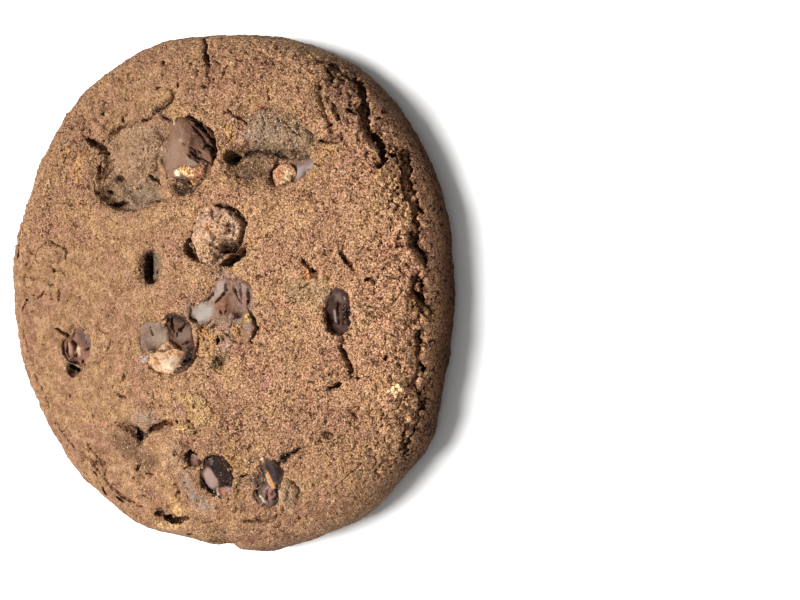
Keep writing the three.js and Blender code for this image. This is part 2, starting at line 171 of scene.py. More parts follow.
class Ink:
    def __init__(self, name):
        self.material = bpy.data.materials.new(name)
        self.material.use_nodes = True
        self.tree = self.material.node_tree
        self.shader = self.tree.nodes["Principled BSDF"]
        self.place = self.node("ShaderNodeTexCoord")["Object"]

    def node(self, kind, settings=None, values=None):
        made = self.tree.nodes.new(kind)
        for key, value in (settings or {}).items():
            setattr(made, key, value)
        entries = values.items() if isinstance(values, dict) else enumerate(values or [])
        for key, value in entries:
            self.feed(made.inputs[key], value)
        return Outputs(self, made)

    def feed(self, socket, value):
        if isinstance(value, Wire):
            self.tree.links.new(value.socket, socket)
        elif isinstance(value, tuple) and len(value) == 3 and socket.type == "RGBA":
            socket.default_value = (*value, 1)
        else:
            socket.default_value = value

    def noise(self, size, detail=2.0, roughness=0.5, bend=0.0):
        values = {"Vector": self.place, "Scale": 1 / (size * mm), "Detail": detail, "Roughness": roughness,
                  "Distortion": bend}
        return self.node("ShaderNodeTexNoise", {}, values)["Fac"]

    def cells(self, size):
        values = {"Vector": self.place, "Scale": 1 / (size * mm)}
        return self.node("ShaderNodeTexVoronoi", {"feature": "F1"}, values)["Distance"]

    def band(self, value, low, high, bottom=0.0, top=1.0):
        values = {"Value": value, "From Min": low, "From Max": high, "To Min": bottom, "To Max": top}
        return self.node("ShaderNodeMapRange", {"interpolation_type": "SMOOTHSTEP"}, values)["Result"]

    def across(self, axis, ends, bottom=0.0, top=1.0):
        # goes from bottom to top between two places in millimetres
        return self.band(axis, ends[0] * mm, ends[1] * mm, bottom, top)

    def mix(self, amount, first, second):
        made = self.node("ShaderNodeMix", {"data_type": "RGBA"}, {"Factor": amount, 6: first, 7: second})
        return Wire(self, made.node.outputs[2])

    def scale(self, colour, factor):
        values = {0: colour, "Scale": factor}
        return self.node("ShaderNodeVectorMath", {"operation": "SCALE"}, values)["Vector"]

    def times(self, colour, gains):
        return self.node("ShaderNodeVectorMath", {"operation": "MULTIPLY"}, [colour, gains])["Vector"]

    def sway(self, amount, value, colour, dark, light):
        # darker and lighter versions of a colour, as a value goes from 0 to 1
        return self.mix(amount, colour, self.mix(value, self.times(colour, dark), self.times(colour, light)))

    def attribute(self, name, output="Fac"):
        return self.node("ShaderNodeAttribute", {"attribute_name": name})[output]

    def axes(self):
        parts = self.node("ShaderNodeSeparateXYZ", {}, [self.place])
        return parts["X"], parts["Y"], parts["Z"]

    def bump(self, height, depth, strength=1.0):
        values = {"Height": height, "Distance": depth * mm, "Strength": strength}
        return self.node("ShaderNodeBump", {}, values)["Normal"]

    def finish(self, colour, roughness, normal):
        for key, value in (("Base Color", colour), ("Roughness", roughness), ("Normal", normal),
                           ("Specular IOR Level", shine)):
            self.feed(self.shader.inputs[key], value)
        return self.material


# mesh helpers

def selectOnly(piece):
    bpy.ops.object.select_all(action="DESELECT")
    piece.select_set(True)
    bpy.context.view_layer.objects.active = piece


def applyModifier(piece, kind, **settings):
    selectOnly(piece)
    modifier = piece.modifiers.new(kind.lower(), kind)
    for key, value in settings.items():
        setattr(modifier, key, value)
    bpy.ops.object.modifier_apply(modifier=modifier.name)


def newPiece(name, mesh):
    piece = bpy.data.objects.new(name, mesh)
    bpy.context.scene.collection.objects.link(piece)
    return piece


def mergedCopy(node, name):
    # a copy of a CAD node with its loose triangles joined up
    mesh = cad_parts[node].data.copy()
    mesh.materials.clear()
    piece = newPiece(name, mesh)
    selectOnly(piece)
    bpy.ops.object.mode_set(mode="EDIT")
    bpy.ops.mesh.select_all(action="SELECT")
    bpy.ops.mesh.remove_doubles(threshold=1e-6)
    bpy.ops.object.mode_set(mode="OBJECT")
    for layer in [a.name for a in mesh.attributes if not a.is_required and not a.is_internal]:
        mesh.attributes.remove(mesh.attributes[layer])
    return piece


def insideBox(points, margin):
    # no point closer than this to a side of the CAD box
    return np.clip(points, np.array(cadBox[0]) / mm + margin, np.array(cadBox[1]) / mm - margin)


def readAll(items, key, width=3, kind=float):
    # one row for each vertex, edge or triangle
    values = np.empty(len(items) * width, dtype=kind)
    items.foreach_get(key, values)
    return values.reshape(-1, width)


def storeLayer(piece, name, values, kind="FLOAT", key="value"):
    layer = piece.data.attributes.new(name, kind, "POINT")
    layer.data.foreach_set(key, np.ascontiguousarray(values, dtype=np.float32).ravel())


def storeTint(piece, values):
    storeLayer(piece, "tint", values, "FLOAT_COLOR", "color")


def thinOut(piece, count, most):
    if count > most:
        applyModifier(piece, "DECIMATE", ratio=most / count)


def settle(piece, node, slotName):
    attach(piece, "root")
    if node:
        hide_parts(node)


noiseTurn = np.array([[0.80, 0.36, -0.48], [-0.60, 0.48, -0.64], [0.0, 0.80, 0.60]])
noiseStep = 7.31
hashSteps = (73856093, 19349663, 83492791, 2654435761)
hashMixers = ((13, 1274126177), (15, 668265263))
hashMask = 0x7FFFFFFF


def hashed(cell, seed):
    # a repeatable random number from -1 to 1 for every whole-numbered cell
    stepX, stepY, stepZ, seedStep = hashSteps
    mixed = cell[:, 0] * stepX ^ cell[:, 1] * stepY ^ cell[:, 2] * stepZ ^ (seed * seedStep)
    for bits, factor in hashMixers:
        mixed = (mixed ^ (mixed >> bits)) * factor & hashMask
    return mixed / (hashMask >> 1) - 1


def noiseField(points, size, seed):
    # smooth lumps of the given size in millimetres, from about -1 to 1
    place = points @ noiseTurn / size + seed * noiseStep
    cell = np.floor(place).astype(np.int64)
    part = place - cell
    fade = part * part * (3 - 2 * part)
    total = np.zeros(len(points))
    for corner in np.ndindex(2, 2, 2):
        weight = np.prod(np.where(np.array(corner) == 1, fade, 1 - fade), axis=1)
        total += weight * hashed(cell + corner, seed)
    return total


def brokenField(points, sizes, seeds, share=0.6):
    # lumps with smaller ones on them
    return noiseField(points, sizes[0], seeds[0]) + share * noiseField(points, sizes[1], seeds[1])


def shift(points, size, seeds):
    # a small push along x and y, different at every point
    return np.stack([noiseField(points, size, seed) for seed in seeds], 1)


def ease(values, low, high):
    share = np.clip((values - low) / (high - low), 0, 1)
    return share * share * (3 - 2 * share)


def toWay(flat, way, closed=False):
    # the distance in millimetres from each point to a line on the plan, minus inside a closed one
    ends = way[1:] + way[:1] if closed else way[1:]
    nearest = np.full(len(flat), 1e9)
    inside = np.zeros(len(flat), dtype=bool)
    for start, end in zip(way, ends):
        start, end = np.array(start), np.array(end)
        along = end - start
        share = np.clip((flat - start) @ along / max(along @ along, 1e-9), 0, 1)
        away = flat - start - share[:, None] * along
        nearest = np.minimum(nearest, (away * away).sum(1))
        if closed and start[1] != end[1]:
            crosses = (start[1] > flat[:, 1]) != (end[1] > flat[:, 1])
            inside ^= crosses & (flat[:, 0] < (flat[:, 1] - start[1]) / along[1] * along[0] + start[0])
    nearest = np.sqrt(nearest)
    return np.where(inside, -nearest, nearest)


def masked(flat, way, reach, rule):
    # works out a rule only for the points near a line, 0 elsewhere
    way = [tuple(p) for p in way]
    low, high = np.min(way, axis=0) - reach, np.max(way, axis=0) + reach
    near = np.flatnonzero(((flat > low) & (flat < high)).all(1))
    values = np.zeros(len(flat))
    if len(near):
        values[near] = rule(flat[near], way)
    return values


# a drawn line: its width at the ends and how soon it is full, how its width sways, and its soft edge
stroke = {
    "ends": (0.35, 0.65),
    "endReach": 1.8,
    "sway": (1.05, 0.35),
    "swayWaves": (4.7, 2, 3.1),
    "edge": (0.5, 0.17),
    "reach": 1.5,
    "dotLength": 0.01,
}


def lineMask(flat, way, width):
    # 1 along a line, falling to 0 at half its width; the line is uneven and runs out at its ends
    if len(way) == 1:
        way = way + [(way[0][0] + stroke["dotLength"], way[0][1])]
        return masked(flat, way, width, lambda p, w: ease(toWay(p, w), width / 2, width / 6))
    thinnest, growth = stroke["ends"]
    middle, sway = stroke["sway"]
    waveX, bend, waveY = stroke["swayWaves"]

    def rule(near, line):
        ends = [np.hypot(*(near - end).T) for end in (line[0], line[-1])]
        local = width * (thinnest + growth * ease(np.minimum(*ends), 0, width * stroke["endReach"]))
        local *= middle + sway * np.sin(near[:, 0] * waveX + bend * np.sin(near[:, 1] * waveY))
        return ease(toWay(near, line) / local, *stroke["edge"])

    return masked(flat, way, width * stroke["reach"], rule)


def patchMask(flat, outline, soft):
    # 1 inside an outline, with a soft edge
    return masked(flat, outline, soft, lambda p, w: ease(toWay(p, w, True), soft / 2, -soft / 2))


# how lines and patches are torn at their edges
tear = {"sizes": (0.9, 0.4), "seeds": (71, 72)}

# loose plates: how their edges bend, how far their centres stray, how they tip, and the gaps round them
plate = {
    "bend": 0.28,
    "bendSize": 0.9,
    "bendSeeds": (81, 82),
    "stray": 0.42,
    "straySeeds": (83, 84),
    "tip": 0.9,
    "tipSeeds": (85, 86),
    "riseSeed": 87,
    "gapSeed": 88,
    "gapAbove": -0.6,
    "gapFull": 0.25,
    "gapDepth": 1.8,
    "leastFacing": 0.02,
}

# how the painted shade in a crack is laid: most and usual amount for its depth, smoothness, and how its width grows
crackPaint = {"most": 0.9, "amount": 0.75, "sleek": 0.1, "width": (0.75, 0.18), "deepest": 2}

clingColour = (184, 136, 104)
leastTint = 1e-4
boxMargin = 0.02
blurShare = 0.5
hollowRounds = 8


class Surface:
    def __init__(self, piece):
        self.piece = piece
        mesh = piece.data
        self.points = readAll(mesh.vertices, "co") / mm
        edges = readAll(mesh.edges, "vertices", 2, np.int64)
        self.start = np.concatenate([edges[:, 0], edges[:, 1]])
        self.end = np.concatenate([edges[:, 1], edges[:, 0]])
        self.share = 1 / np.maximum(np.bincount(self.start, minlength=len(self.points)), 1)

    def save(self):
        self.piece.data.vertices.foreach_set("co", (self.points * mm).ravel())
        self.piece.data.update()

    def keepInside(self):
        self.points = insideBox(self.points, boxMargin)

    def normals(self):
        self.save()
        return readAll(self.piece.data.vertices, "normal")

    def blur(self, values, rounds, weight=1.0):
        # each point's value drifts to the mean of its neighbours
        flat = values.ndim == 1
        field = values.reshape(len(values), -1).copy()
        gain = blurShare * (weight if np.isscalar(weight) else weight[:, None])
        for _ in range(rounds):
            mean = np.stack([np.bincount(self.start, column[self.end], len(field)) for column in field.T], 1)
            field += (mean * self.share[:, None] - field) * gain
        return field[:, 0] if flat else field

    def ragged(self, amount):
        # the plan position, pushed about so that what is drawn on it has a broken edge
        push = [brokenField(self.points, tear["sizes"], (seed, seed + 2)) for seed in tear["seeds"]]
        return self.points[:, :2] + amount * np.stack(push, 1)

    def carve(self, cuts, swells, facing, flat):
        # cuts are (width, depth, line), swells are (rise, soft edge, outline); both go straight up or down
        lift = np.zeros(len(flat))
        for width, depth, way in cuts:
            lift = np.minimum(lift, -depth * lineMask(flat, way, width))
        for rise, soft, outline in swells:
            lift += rise * patchMask(flat, outline, soft)
        self.points[:, 2] += lift * facing

    def crackle(self, size, rise, gap, facing):
        # loose plates, each lifted and tipped by its own amount, with a gap round it
        near = np.flatnonzero(facing > plate["leastFacing"])
        points, count = self.points[near], len(near)
        bend = shift(points, size * plate["bendSize"], plate["bendSeeds"])
        flat = (points[:, :2] + plate["bend"] * size * bend) / size
        base = np.floor(flat).astype(np.int64)
        first, second = np.full(count, 9.0), np.full(count, 9.0)
        height = np.zeros(count)
        for step in np.ndindex(3, 3):
            cell = np.column_stack([base + np.array(step) - 1, np.full(count, int(size * 100))])
            strayed = np.stack([hashed(cell, seed) for seed in plate["straySeeds"]], 1)
            away = flat - (cell[:, :2] + 0.5 + plate["stray"] * strayed)
            distance = np.hypot(*away.T)
            tipX, tipY = [hashed(cell, seed) for seed in plate["tipSeeds"]]
            tip = plate["tip"] * (away[:, 0] * tipX + away[:, 1] * tipY)
            closer = distance < first
            second = np.where(closer, first, np.minimum(second, distance))
            height = np.where(closer, hashed(cell, plate["riseSeed"]) + tip, height)
            first = np.minimum(first, distance)
        border = ease((second - first) * size, gap, gap * plate["gapFull"])
        border = border * (hashed(base[:, [0, 1, 0]], plate["gapSeed"]) > plate["gapAbove"])
        self.points[near, 2] += (height * rise - border * gap * plate["gapDepth"]) * facing[near]

    def paint(self, flat, patches, facing, cracks, crackShade, rim=None):
        # patches are (colour, amount, smoothness, soft edge, outline), later ones over earlier ones, cracks last;
        # rim is how far crumb from the dough covers each point
        count = len(flat)
        tint = np.zeros((count, 4))
        sleek = np.zeros(count)
        lines = []
        for width, depth, way in cracks:
            amount = min(crackPaint["most"], depth * crackPaint["amount"])
            spread = crackPaint["width"][0] + crackPaint["width"][1] * min(depth, crackPaint["deepest"])
            lines.append((crackShade, amount, crackPaint["sleek"], width * spread, way))
        for n, (colour, amount, sleekness, soft, outline) in enumerate(patches + lines):
            mask = (patchMask if n < len(patches) else lineMask)(flat, outline, soft) * facing
            share = (mask * amount)[:, None]
            total = share[:, 0] + tint[:, 3] * (1 - share[:, 0])
            mixed = share * np.array(tone(*colour)) + tint[:, :3] * (tint[:, 3:] * (1 - share))
            seen = np.maximum(total, leastTint)[:, None]
            tint[:, :3] = np.where(total[:, None] > leastTint, mixed / seen, tint[:, :3])
            tint[:, 3] = total
            sleek = sleek * (1 - mask) + sleekness * mask
        if rim is not None:
            tint[:, :3] += (np.array(tone(*clingColour)) - tint[:, :3]) * rim[:, None]
            tint[:, 3] = np.maximum(tint[:, 3], rim)
            sleek = sleek * (1 - rim)
        storeTint(self.piece, tint)
        storeLayer(self.piece, "sleek", sleek)
        return sleek

    def markHollow(self):
        # how far each point lies under its smoothed surroundings, which the materials paint darker as shade in
        # creases and hollows
        smooth = self.blur(self.points, hollowRounds)
        storeLayer(self.piece, "fine", ((smooth - self.points) * self.normals()).sum(1))


print("helpers ready")


# the dough: the CAD body, remeshed fine and given its crust

dough = {
    "voxel": 0.165,
    "facetRounds": 60,
    "lumps": [(6.5, 0.24), (2.6, 0.17), (1.2, 0.13), (0.6, 0.13), (0.34, 0.09)],
    "pitDepth": 0.30,
    "hairDepth": 0.26,
    "poreDepth": 0.45,
    "cutHeights": (1.2, 9.0),
    "triangles": {"doughBase": 150000, "doughWall": 120000, "doughTop": 198000},
    "thinCut": 0.85,
    "lip": {"at": (3.6, -39.6), "left": (-4.5, -0.4), "right": (0.25, -0.1), "front": (5, 1), "step": 0.95},
    "crackShade": (46, 27, 16),
}

# plate size, lift, gap and outline of the crumbling places
doughPlates = [
    (2.3, 0.26, 0.30, [(14.1, 37.9), (18.7, 36.2), (22.5, 33.8), (24.2, 30.8), (22.7, 28.1), (21.2, 25.1),
        (19.3, 26.6), (18.3, 31.3)]),
    (1.5, 0.20, 0.30, [(19.5, 34.0), (23.1, 32.6), (25.4, 28.9), (28.0, 23.6), (30.3, 20.6), (28.9, 19.0),
        (24.9, 22.0), (21.8, 25.4), (21.1, 29.7)]),
    (1.3, 0.18, 0.30, [(29.3, 20.6), (31.1, 21.0), (32.8, 19.4), (34.3, 11.1), (35.0, 3.0), (33.9, 0.8),
        (32.6, 4.1), (31.7, 9.1), (29.7, 14.6)]),
    (1.2, 0.20, 0.30, [(32.6, 4.1), (34.8, 1.2), (34.6, -5.7), (34.5, -16.1), (32.6, -21.5), (31.8, -21.1),
        (33.1, -14.5), (33.1, -5.7)]),
    (2.0, 0.18, 0.26, [(-19.1, 30.7), (-7.9, 30.6), (-7.7, 27.7), (-14.8, 26.2), (-18.7, 22.3), (-19.2, 15.8),
        (-23.5, 9.6), (-26.6, 7.2), (-28.8, 8.8), (-27.2, 16.1), (-24.2, 24.0)]),
    (2.2, 0.16, 0.24, [(-7.1, 35.7), (2.1, 36.8), (8.3, 34.8), (14.2, 35.3), (16.5, 31.3), (10.9, 27.8),
        (3.1, 27.2), (-4.3, 28.5), (-8.1, 31.9)]),
    (1.7, 0.18, 0.26, [(-30.9, 4.7), (-22.8, 7.4), (-21.6, 4.6), (-23.5, -1.4), (-27.4, -3.3), (-30.6, -6.2),
        (-31.9, -1.4)]),
    (1.8, 0.22, 0.28, [(18.5, 25.1), (23.8, 23.2), (24.7, 20.2), (21.2, 18.5), (19.0, 19.8), (19.6, 22.1)]),
    (1.5, 0.20, 0.26, [(-4.1, -22.7), (7.6, -22.3), (17.1, -22.0), (18.8, -26.4), (16.1, -34.2), (5.1, -34.7),
        (-3.6, -31.9), (-6.0, -27.4)]),
]

# width, depth and way of each crack on the plan: first the split round the right-hand rim
rimCracks = [
    (1.05, 2.6, [(23.5, 32.0), (24.6, 30.3), (25.2, 28.8), (26.0, 27.7)]),
    (2.2, 2.6, [(25.9, 27.6), (26.3, 26.1), (26.2, 24.3)]),
    (1.0, 2.4, [(26.3, 24.6), (27.0, 23.1), (28.0, 22.0), (28.9, 21.0), (29.4, 19.8)]),
    (0.69, 1.8, [(29.0, 20.7), (29.5, 18.9), (28.7, 18.1)]),
    (0.76, 1.8, [(30.1, 20.3), (31.0, 19.5)]),
    (0.62, 2.0, [(31.8, 20.8), (32.1, 18.9), (32.5, 17.7), (32.5, 16.3), (32.8, 15.0), (33.6, 13.5)]),
    (0.69, 2.0, [(33.6, 13.5), (33.8, 12.5), (34.5, 11.3)]),
    (0.69, 2.2, [(33.6, 11.2), (34.1, 9.2), (34.2, 7.9), (33.6, 6.9), (34.2, 6.0), (34.8, 4.9), (35.2, 3.5)]),
    (0.55, 1.8, [(34.2, 2.7), (33.6, 1.5), (33.7, -0.2), (34.4, -1.7)]),
    (0.62, 1.8, [(34.4, 2.1), (34.7, -0.3), (34.7, -2.0), (35.5, -2.5), (35.9, -3.9)]),
    (0.76, 2.4, [(34.2, -5.6), (34.1, -6.7), (34.4, -7.4), (34.0, -8.7), (34.2, -9.8)]),
    (0.69, 2.4, [(34.2, -9.8), (34.4, -10.7), (34.5, -11.9), (34.7, -12.7)]),
    (1.35, 2.4, [(33.9, -12.6), (33.6, -13.3), (33.4, -14.4)]),
    (0.8, 2.4, [(33.9, -15.2), (34.4, -16.0), (34.4, -16.7), (33.9, -17.8), (33.5, -19.1), (33.0, -20.2),
        (32.8, -21.1)]),
    (0.9, 2.4, [(32.7, -21.2), (32.1, -22.0), (31.8, -23.0), (31.0, -24.9)]),
]

doughCracks = [
    # the torn crust inside the split
    (0.9, 1.2, [(19.4, 34.0), (20.1, 32.7), (20.6, 31.4), (20.7, 30.3)]),
    (0.9, 1.2, [(19.7, 34.5), (20.5, 33.8), (21.0, 33.0)]),
    (0.8, 1.2, [(21.6, 31.9), (22.2, 31.5)]),
    (0.9, 1.3, [(22.3, 33.1), (22.6, 33.1), (23.3, 33.0)]),
    (0.6, 1.0, [(23.5, 26.9), (24.7, 26.2), (25.3, 25.8)]),
    (0.6, 1.0, [(20.7, 28.9), (21.3, 27.5), (21.7, 26.0)]),
    (0.7, 1.2, [(22.3, 26.2), (22.5, 25.1)]),
    (0.6, 0.8, [(21.0, 23.8), (21.5, 24.5)]),
    (0.7, 1.2, [(27.9, 25.3)]),
    (0.6, 0.8, [(28.2, 26.9), (28.3, 26.3)]),
    (0.9, 0.9, [(15.8, 35.7), (16.9, 35.7), (17.5, 35.6)]),
    (0.5, 0.8, [(14.7, 35.7), (15.0, 34.6)]),
    # the top
    (0.8, 1.6, [(-1.8, 40.1), (0.3, 37.4), (0.7, 35.6), (1.7, 34.1)]),
    (1.2, 1.6, [(0.7, 36.4), (1.5, 34.6)]),
    (0.8, 1.4, [(-3.1, 31.7), (-3.1, 30.9)]),
    (0.5, 1.0, [(-4.1, 30.1), (-4.0, 29.0), (-4.8, 28.1)]),
    (0.4, 0.7, [(-6.8, 35.8), (-6.3, 34.9)]),
    (0.5, 0.8, [(2.6, 32.0)]),
    (0.5, 0.6, [(0.9, 30.9), (1.8, 30.8)]),
    (0.4, 0.6, [(-7.5, 31.1), (-6.2, 31.1)]),
    (0.5, 0.8, [(11.5, 29.9), (11.9, 28.3)]),
    (0.4, 0.8, [(5.1, 27.3), (6.4, 26.2), (7.5, 25.7), (8.6, 25.0)]),
    # round the north-west hollow
    (0.4, 0.5, [(-15.0, 24.4), (-14.2, 25.1), (-12.8, 25.5)]),
    (0.5, 0.8, [(-8.7, 26.3), (-7.9, 26.7), (-7.2, 27.3)]),
    (0.5, 0.8, [(-16.7, 19.6), (-16.8, 18.2), (-17.2, 17.1)]),
    (0.9, 1.2, [(-19.4, 23.9), (-17.9, 23.1), (-16.8, 22.6), (-15.7, 21.5)]),
    (0.6, 0.9, [(-16.8, 21.4), (-15.7, 21.6)]),
    (0.8, 1.0, [(-6.9, 27.6), (-6.0, 27.8), (-5.0, 28.0)]),
    (0.7, 1.0, [(-5.6, 26.8), (-4.6, 26.3), (-4.1, 25.9)]),
    (0.6, 0.8, [(-9.7, 26.3), (-8.4, 26.4)]),
    (0.6, 0.8, [(-11.8, 25.3), (-11.3, 25.5)]),
    (0.5, 0.7, [(-13.0, 27.1), (-12.6, 26.1)]),
    (0.9, 0.9, [(-15.1, 17.9), (-13.7, 17.8), (-13.0, 16.5)]),
    (0.6, 0.9, [(-15.9, 15.7), (-15.5, 15.4)]),
    (0.5, 1.0, [(-15.1, 13.5), (-14.0, 13.4), (-13.5, 13.8), (-13.0, 13.7), (-13.1, 13.3)]),
    (0.35, 0.5, [(-9.1, 13.5), (-7.9, 14.0), (-7.0, 13.8), (-5.9, 14.0)]),
    (1.1, 1.2, [(-8.2, 17.7), (-7.4, 17.2), (-6.4, 16.5)]),
    # round the north-east hollow
    (1.8, 2.2, [(5.3, 19.8), (6.5, 20.0)]),
    (0.6, 0.5, [(7.1, 20.5), (9.0, 21.0), (10.5, 20.8), (12.0, 20.4), (13.9, 19.8), (15.7, 19.5), (17.1, 19.8),
        (18.4, 20.2)]),
    (0.5, 0.8, [(15.3, 24.3), (16.1, 23.6), (16.9, 22.7)]),
    (0.4, 0.5, [(16.5, 24.7), (17.0, 23.7), (17.2, 22.6)]),
    (0.35, 0.4, [(11.0, 26.0), (11.5, 24.9), (11.4, 24.2)]),
    (0.35, 0.4, [(13.5, 25.7), (14.4, 24.5)]),
    (0.5, 0.8, [(17.9, 23.9), (19.2, 22.8)]),
    (0.9, 1.5, [(20.1, 22.1), (20.0, 21.7)]),
    (0.4, 0.8, [(20.1, 21.9), (21.4, 21.8), (22.6, 21.7)]),
    (0.9, 1.9, [(23.1, 22.8), (23.0, 22.0), (22.7, 21.5)]),
    (0.5, 0.8, [(21.1, 20.0)]),
    (0.6, 1.0, [(18.4, 17.9), (17.0, 17.2), (15.7, 16.3)]),
    (0.6, 1.0, [(18.9, 19.0), (20.2, 18.2)]),
    (0.4, 0.6, [(10.0, 26.9), (10.9, 27.2), (12.2, 27.0)]),
    # the gaps beside the centre chip
    (0.9, 2.2, [(4.2, 12.8), (5.1, 12.8), (6.5, 12.2), (7.6, 11.2), (8.3, 10.1), (8.2, 8.9)]),
    (1.2, 2.4, [(8.2, 8.9), (7.3, 7.6), (6.3, 6.5), (5.2, 6.0), (4.0, 5.7)]),
    (1.4, 1.8, [(-0.6, 8.0), (-0.9, 6.8), (-0.5, 5.9), (0.2, 4.9), (1.3, 4.3)]),
    (0.6, 0.8, [(-3.0, 4.0), (-2.9, 3.5), (-2.7, 2.9)]),
    # round the smear and the cluster
    (0.5, 1.0, [(1.8, -1.8), (2.2, -1.5), (2.9, -0.9), (3.6, -0.1)]),
    (0.6, 1.1, [(6.7, 0.8), (6.8, 0.0), (7.0, -1.1)]),
    (0.5, 1.0, [(8.9, 0.4), (8.9, -0.8), (8.7, -2.3), (9.0, -3.1)]),
    (0.8, 1.4, [(9.4, -3.2), (10.0, -4.4), (10.3, -5.6), (10.0, -6.6), (9.3, -7.6)]),
    (0.5, 0.8, [(5.2, -6.3), (6.1, -6.9), (7.0, -7.5)]),
    (1.6, 0.9, [(3.7, -9.8), (4.3, -11.0)]),
    (0.7, 1.0, [(-5.1, -4.5), (-4.4, -4.0), (-3.2, -3.6)]),
    (0.6, 0.8, [(-8.6, -5.2), (-7.4, -5.0), (-6.0, -5.3)]),
    (0.8, 1.2, [(-0.2, -8.8), (-0.1, -10.0), (-1.0, -11.4), (-2.9, -12.4), (-4.6, -12.4)]),
    # the slot hole
    (0.8, 3.4, [(-8.1, 5.2), (-8.2, 3.8), (-8.1, 2.4)]),
    # the east chip and its cracks
    (0.8, 2.2, [(23.0, 0.3), (22.0, -0.9), (21.5, -2.3), (21.3, -4.0), (21.8, -5.7), (22.7, -6.3)]),
    (0.7, 1.6, [(24.0, -0.4), (24.6, -1.8), (24.9, -3.3), (24.7, -4.6), (24.2, -6.0)]),
    (0.8, 1.8, [(23.7, -6.2), (23.7, -7.3), (23.6, -8.2), (23.9, -9.3), (24.3, -10.3), (25.0, -11.0),
        (25.1, -11.9), (25.0, -12.7)]),
    (0.5, 0.8, [(25.1, -12.6), (26.0, -12.7), (26.7, -12.9)]),
    (0.7, 1.3, [(21.5, -14.2), (22.4, -14.1), (23.3, -13.6)]),
    (0.4, 0.7, [(18.4, -13.3), (19.6, -13.5)]),
    (0.4, 0.8, [(27.0, 1.4), (27.7, 1.5), (28.4, 1.3), (28.6, 0.2)]),
    (0.6, 1.0, [(27.9, -2.3)]),
    (0.4, 0.7, [(29.7, 2.4), (30.6, 2.0), (31.5, 1.7)]),
    (0.35, 0.6, [(23.3, 5.6), (24.3, 4.1), (25.5, 2.8)]),
    (0.7, 0.9, [(30.1, -9.9)]),
    (0.5, 0.8, [(30.6, -7.0)]),
    (0.9, 1.3, [(18.9, 4.3), (19.0, 3.3), (19.6, 2.4), (19.8, 1.7)]),
    (0.6, 0.9, [(17.6, 4.7), (18.0, 3.8)]),
    # the west chip and the hole under it
    (0.8, 1.2, [(-24.3, -5.9), (-23.6, -6.0), (-23.1, -6.4), (-22.4, -6.8), (-21.8, -7.2), (-21.4, -7.6)]),
    (1.0, 1.4, [(-22.4, -7.9), (-22.7, -9.4), (-22.4, -10.5)]),
    (1.9, 3.0, [(-21.9, -11.9), (-21.1, -12.3), (-20.2, -12.6)]),
    # the south-west folds
    (1.1, 1.1, [(-11.7, -20.8), (-10.7, -21.4), (-9.8, -22.2), (-9.5, -23.3)]),
    (0.45, 0.6, [(-8.6, -21.5), (-6.6, -20.8), (-4.8, -20.1), (-3.8, -20.3)]),
    (0.7, 1.1, [(0.3, -17.6)]),
    (0.6, 0.9, [(-3.0, -20.0)]),
    (0.5, 0.8, [(-1.5, -19.4), (-0.3, -19.8), (0.0, -20.9)]),
    (0.5, 0.7, [(-9.4, -26.8), (-10.4, -27.7)]),
    (0.5, 0.6, [(-13.2, -15.9), (-12.5, -16.3), (-11.6, -16.3)]),
    (0.4, 0.6, [(-12.1, -12.5), (-12.1, -13.7)]),
    # the south chips
    (1.7, 2.0, [(-1.5, -25.0), (-0.8, -24.5), (0.0, -24.7)]),
    (0.7, 1.0, [(-2.0, -27.0), (-0.6, -26.5)]),
    (1.1, 2.0, [(1.3, -26.1), (1.7, -25.4), (2.5, -25.0)]),
    (0.7, 1.8, [(3.0, -24.9), (4.5, -25.3), (5.5, -26.3), (6.0, -27.5), (5.9, -28.5)]),
    (1.3, 2.0, [(6.1, -27.8), (6.3, -28.1)]),
    (0.7, 1.2, [(6.7, -28.0), (7.6, -27.8), (8.8, -27.5)]),
    (0.9, 1.7, [(0.5, -28.2), (0.9, -29.2), (1.6, -30.2), (2.9, -31.1)]),
    (0.6, 1.2, [(5.3, -31.3)]),
    (0.5, 0.8, [(6.5, -26.2)]),
    (0.6, 1.2, [(13.6, -25.4), (13.9, -26.7), (13.7, -28.8), (13.3, -30.5)]),
    (0.8, 1.4, [(9.7, -29.8), (9.8, -30.4), (10.1, -30.8)]),
    (0.8, 1.0, [(10.6, -32.3), (12.5, -31.3)]),
    (1.2, 1.6, [(14.0, -25.5), (14.3, -25.0), (15.0, -24.6), (15.9, -24.0), (16.6, -23.5)]),
    (1.7, 1.9, [(14.4, -25.0), (14.9, -24.6)]),
    (0.6, 0.9, [(15.8, -24.0), (16.9, -23.3), (17.7, -23.0)]),
    (0.5, 0.9, [(14.6, -28.4), (15.3, -28.2), (16.1, -28.6), (16.5, -29.5), (16.3, -30.6)]),
    (1.4, 1.8, [(21.2, -21.0), (21.9, -21.3)]),
    (0.4, 0.5, [(7.3, -35.0), (8.4, -34.6), (9.8, -34.6), (11.8, -34.4)]),
    (1.2, 1.4, [(-8.0, -34.5), (-6.7, -34.1), (-6.3, -34.9), (-5.3, -35.5), (-3.6, -35.4), (-2.2, -34.9)]),
    (0.5, 0.7, [(0.1, -35.5), (2.1, -35.1)]),
    (0.5, 0.7, [(19.1, -34.5), (21.1, -33.9)]),
    (0.5, 0.7, [(18.9, -28.7)]),
    (0.5, 0.6, [(-3.6, -37.8), (-2.5, -37.8)]),
    (0.5, 0.6, [(2.7, -36.6), (3.2, -37.2)]),
    # the left-hand side
    (0.5, 0.6, [(-26.1, 22.8), (-27.2, 21.7)]),
    (0.45, 0.45, [(-22.6, 21.5), (-23.6, 20.3)]),
    (0.45, 0.45, [(-26.5, 15.8), (-27.0, 15.0)]),
    (0.45, 0.52, [(-27.7, 13.4), (-26.7, 12.7), (-26.2, 11.7)]),
    (0.45, 0.52, [(-28.1, 6.1), (-26.3, 7.5), (-25.6, 8.1), (-24.3, 7.3), (-22.1, 6.4), (-22.6, 5.0)]),
    (0.6, 0.68, [(-28.1, 6.1)]),
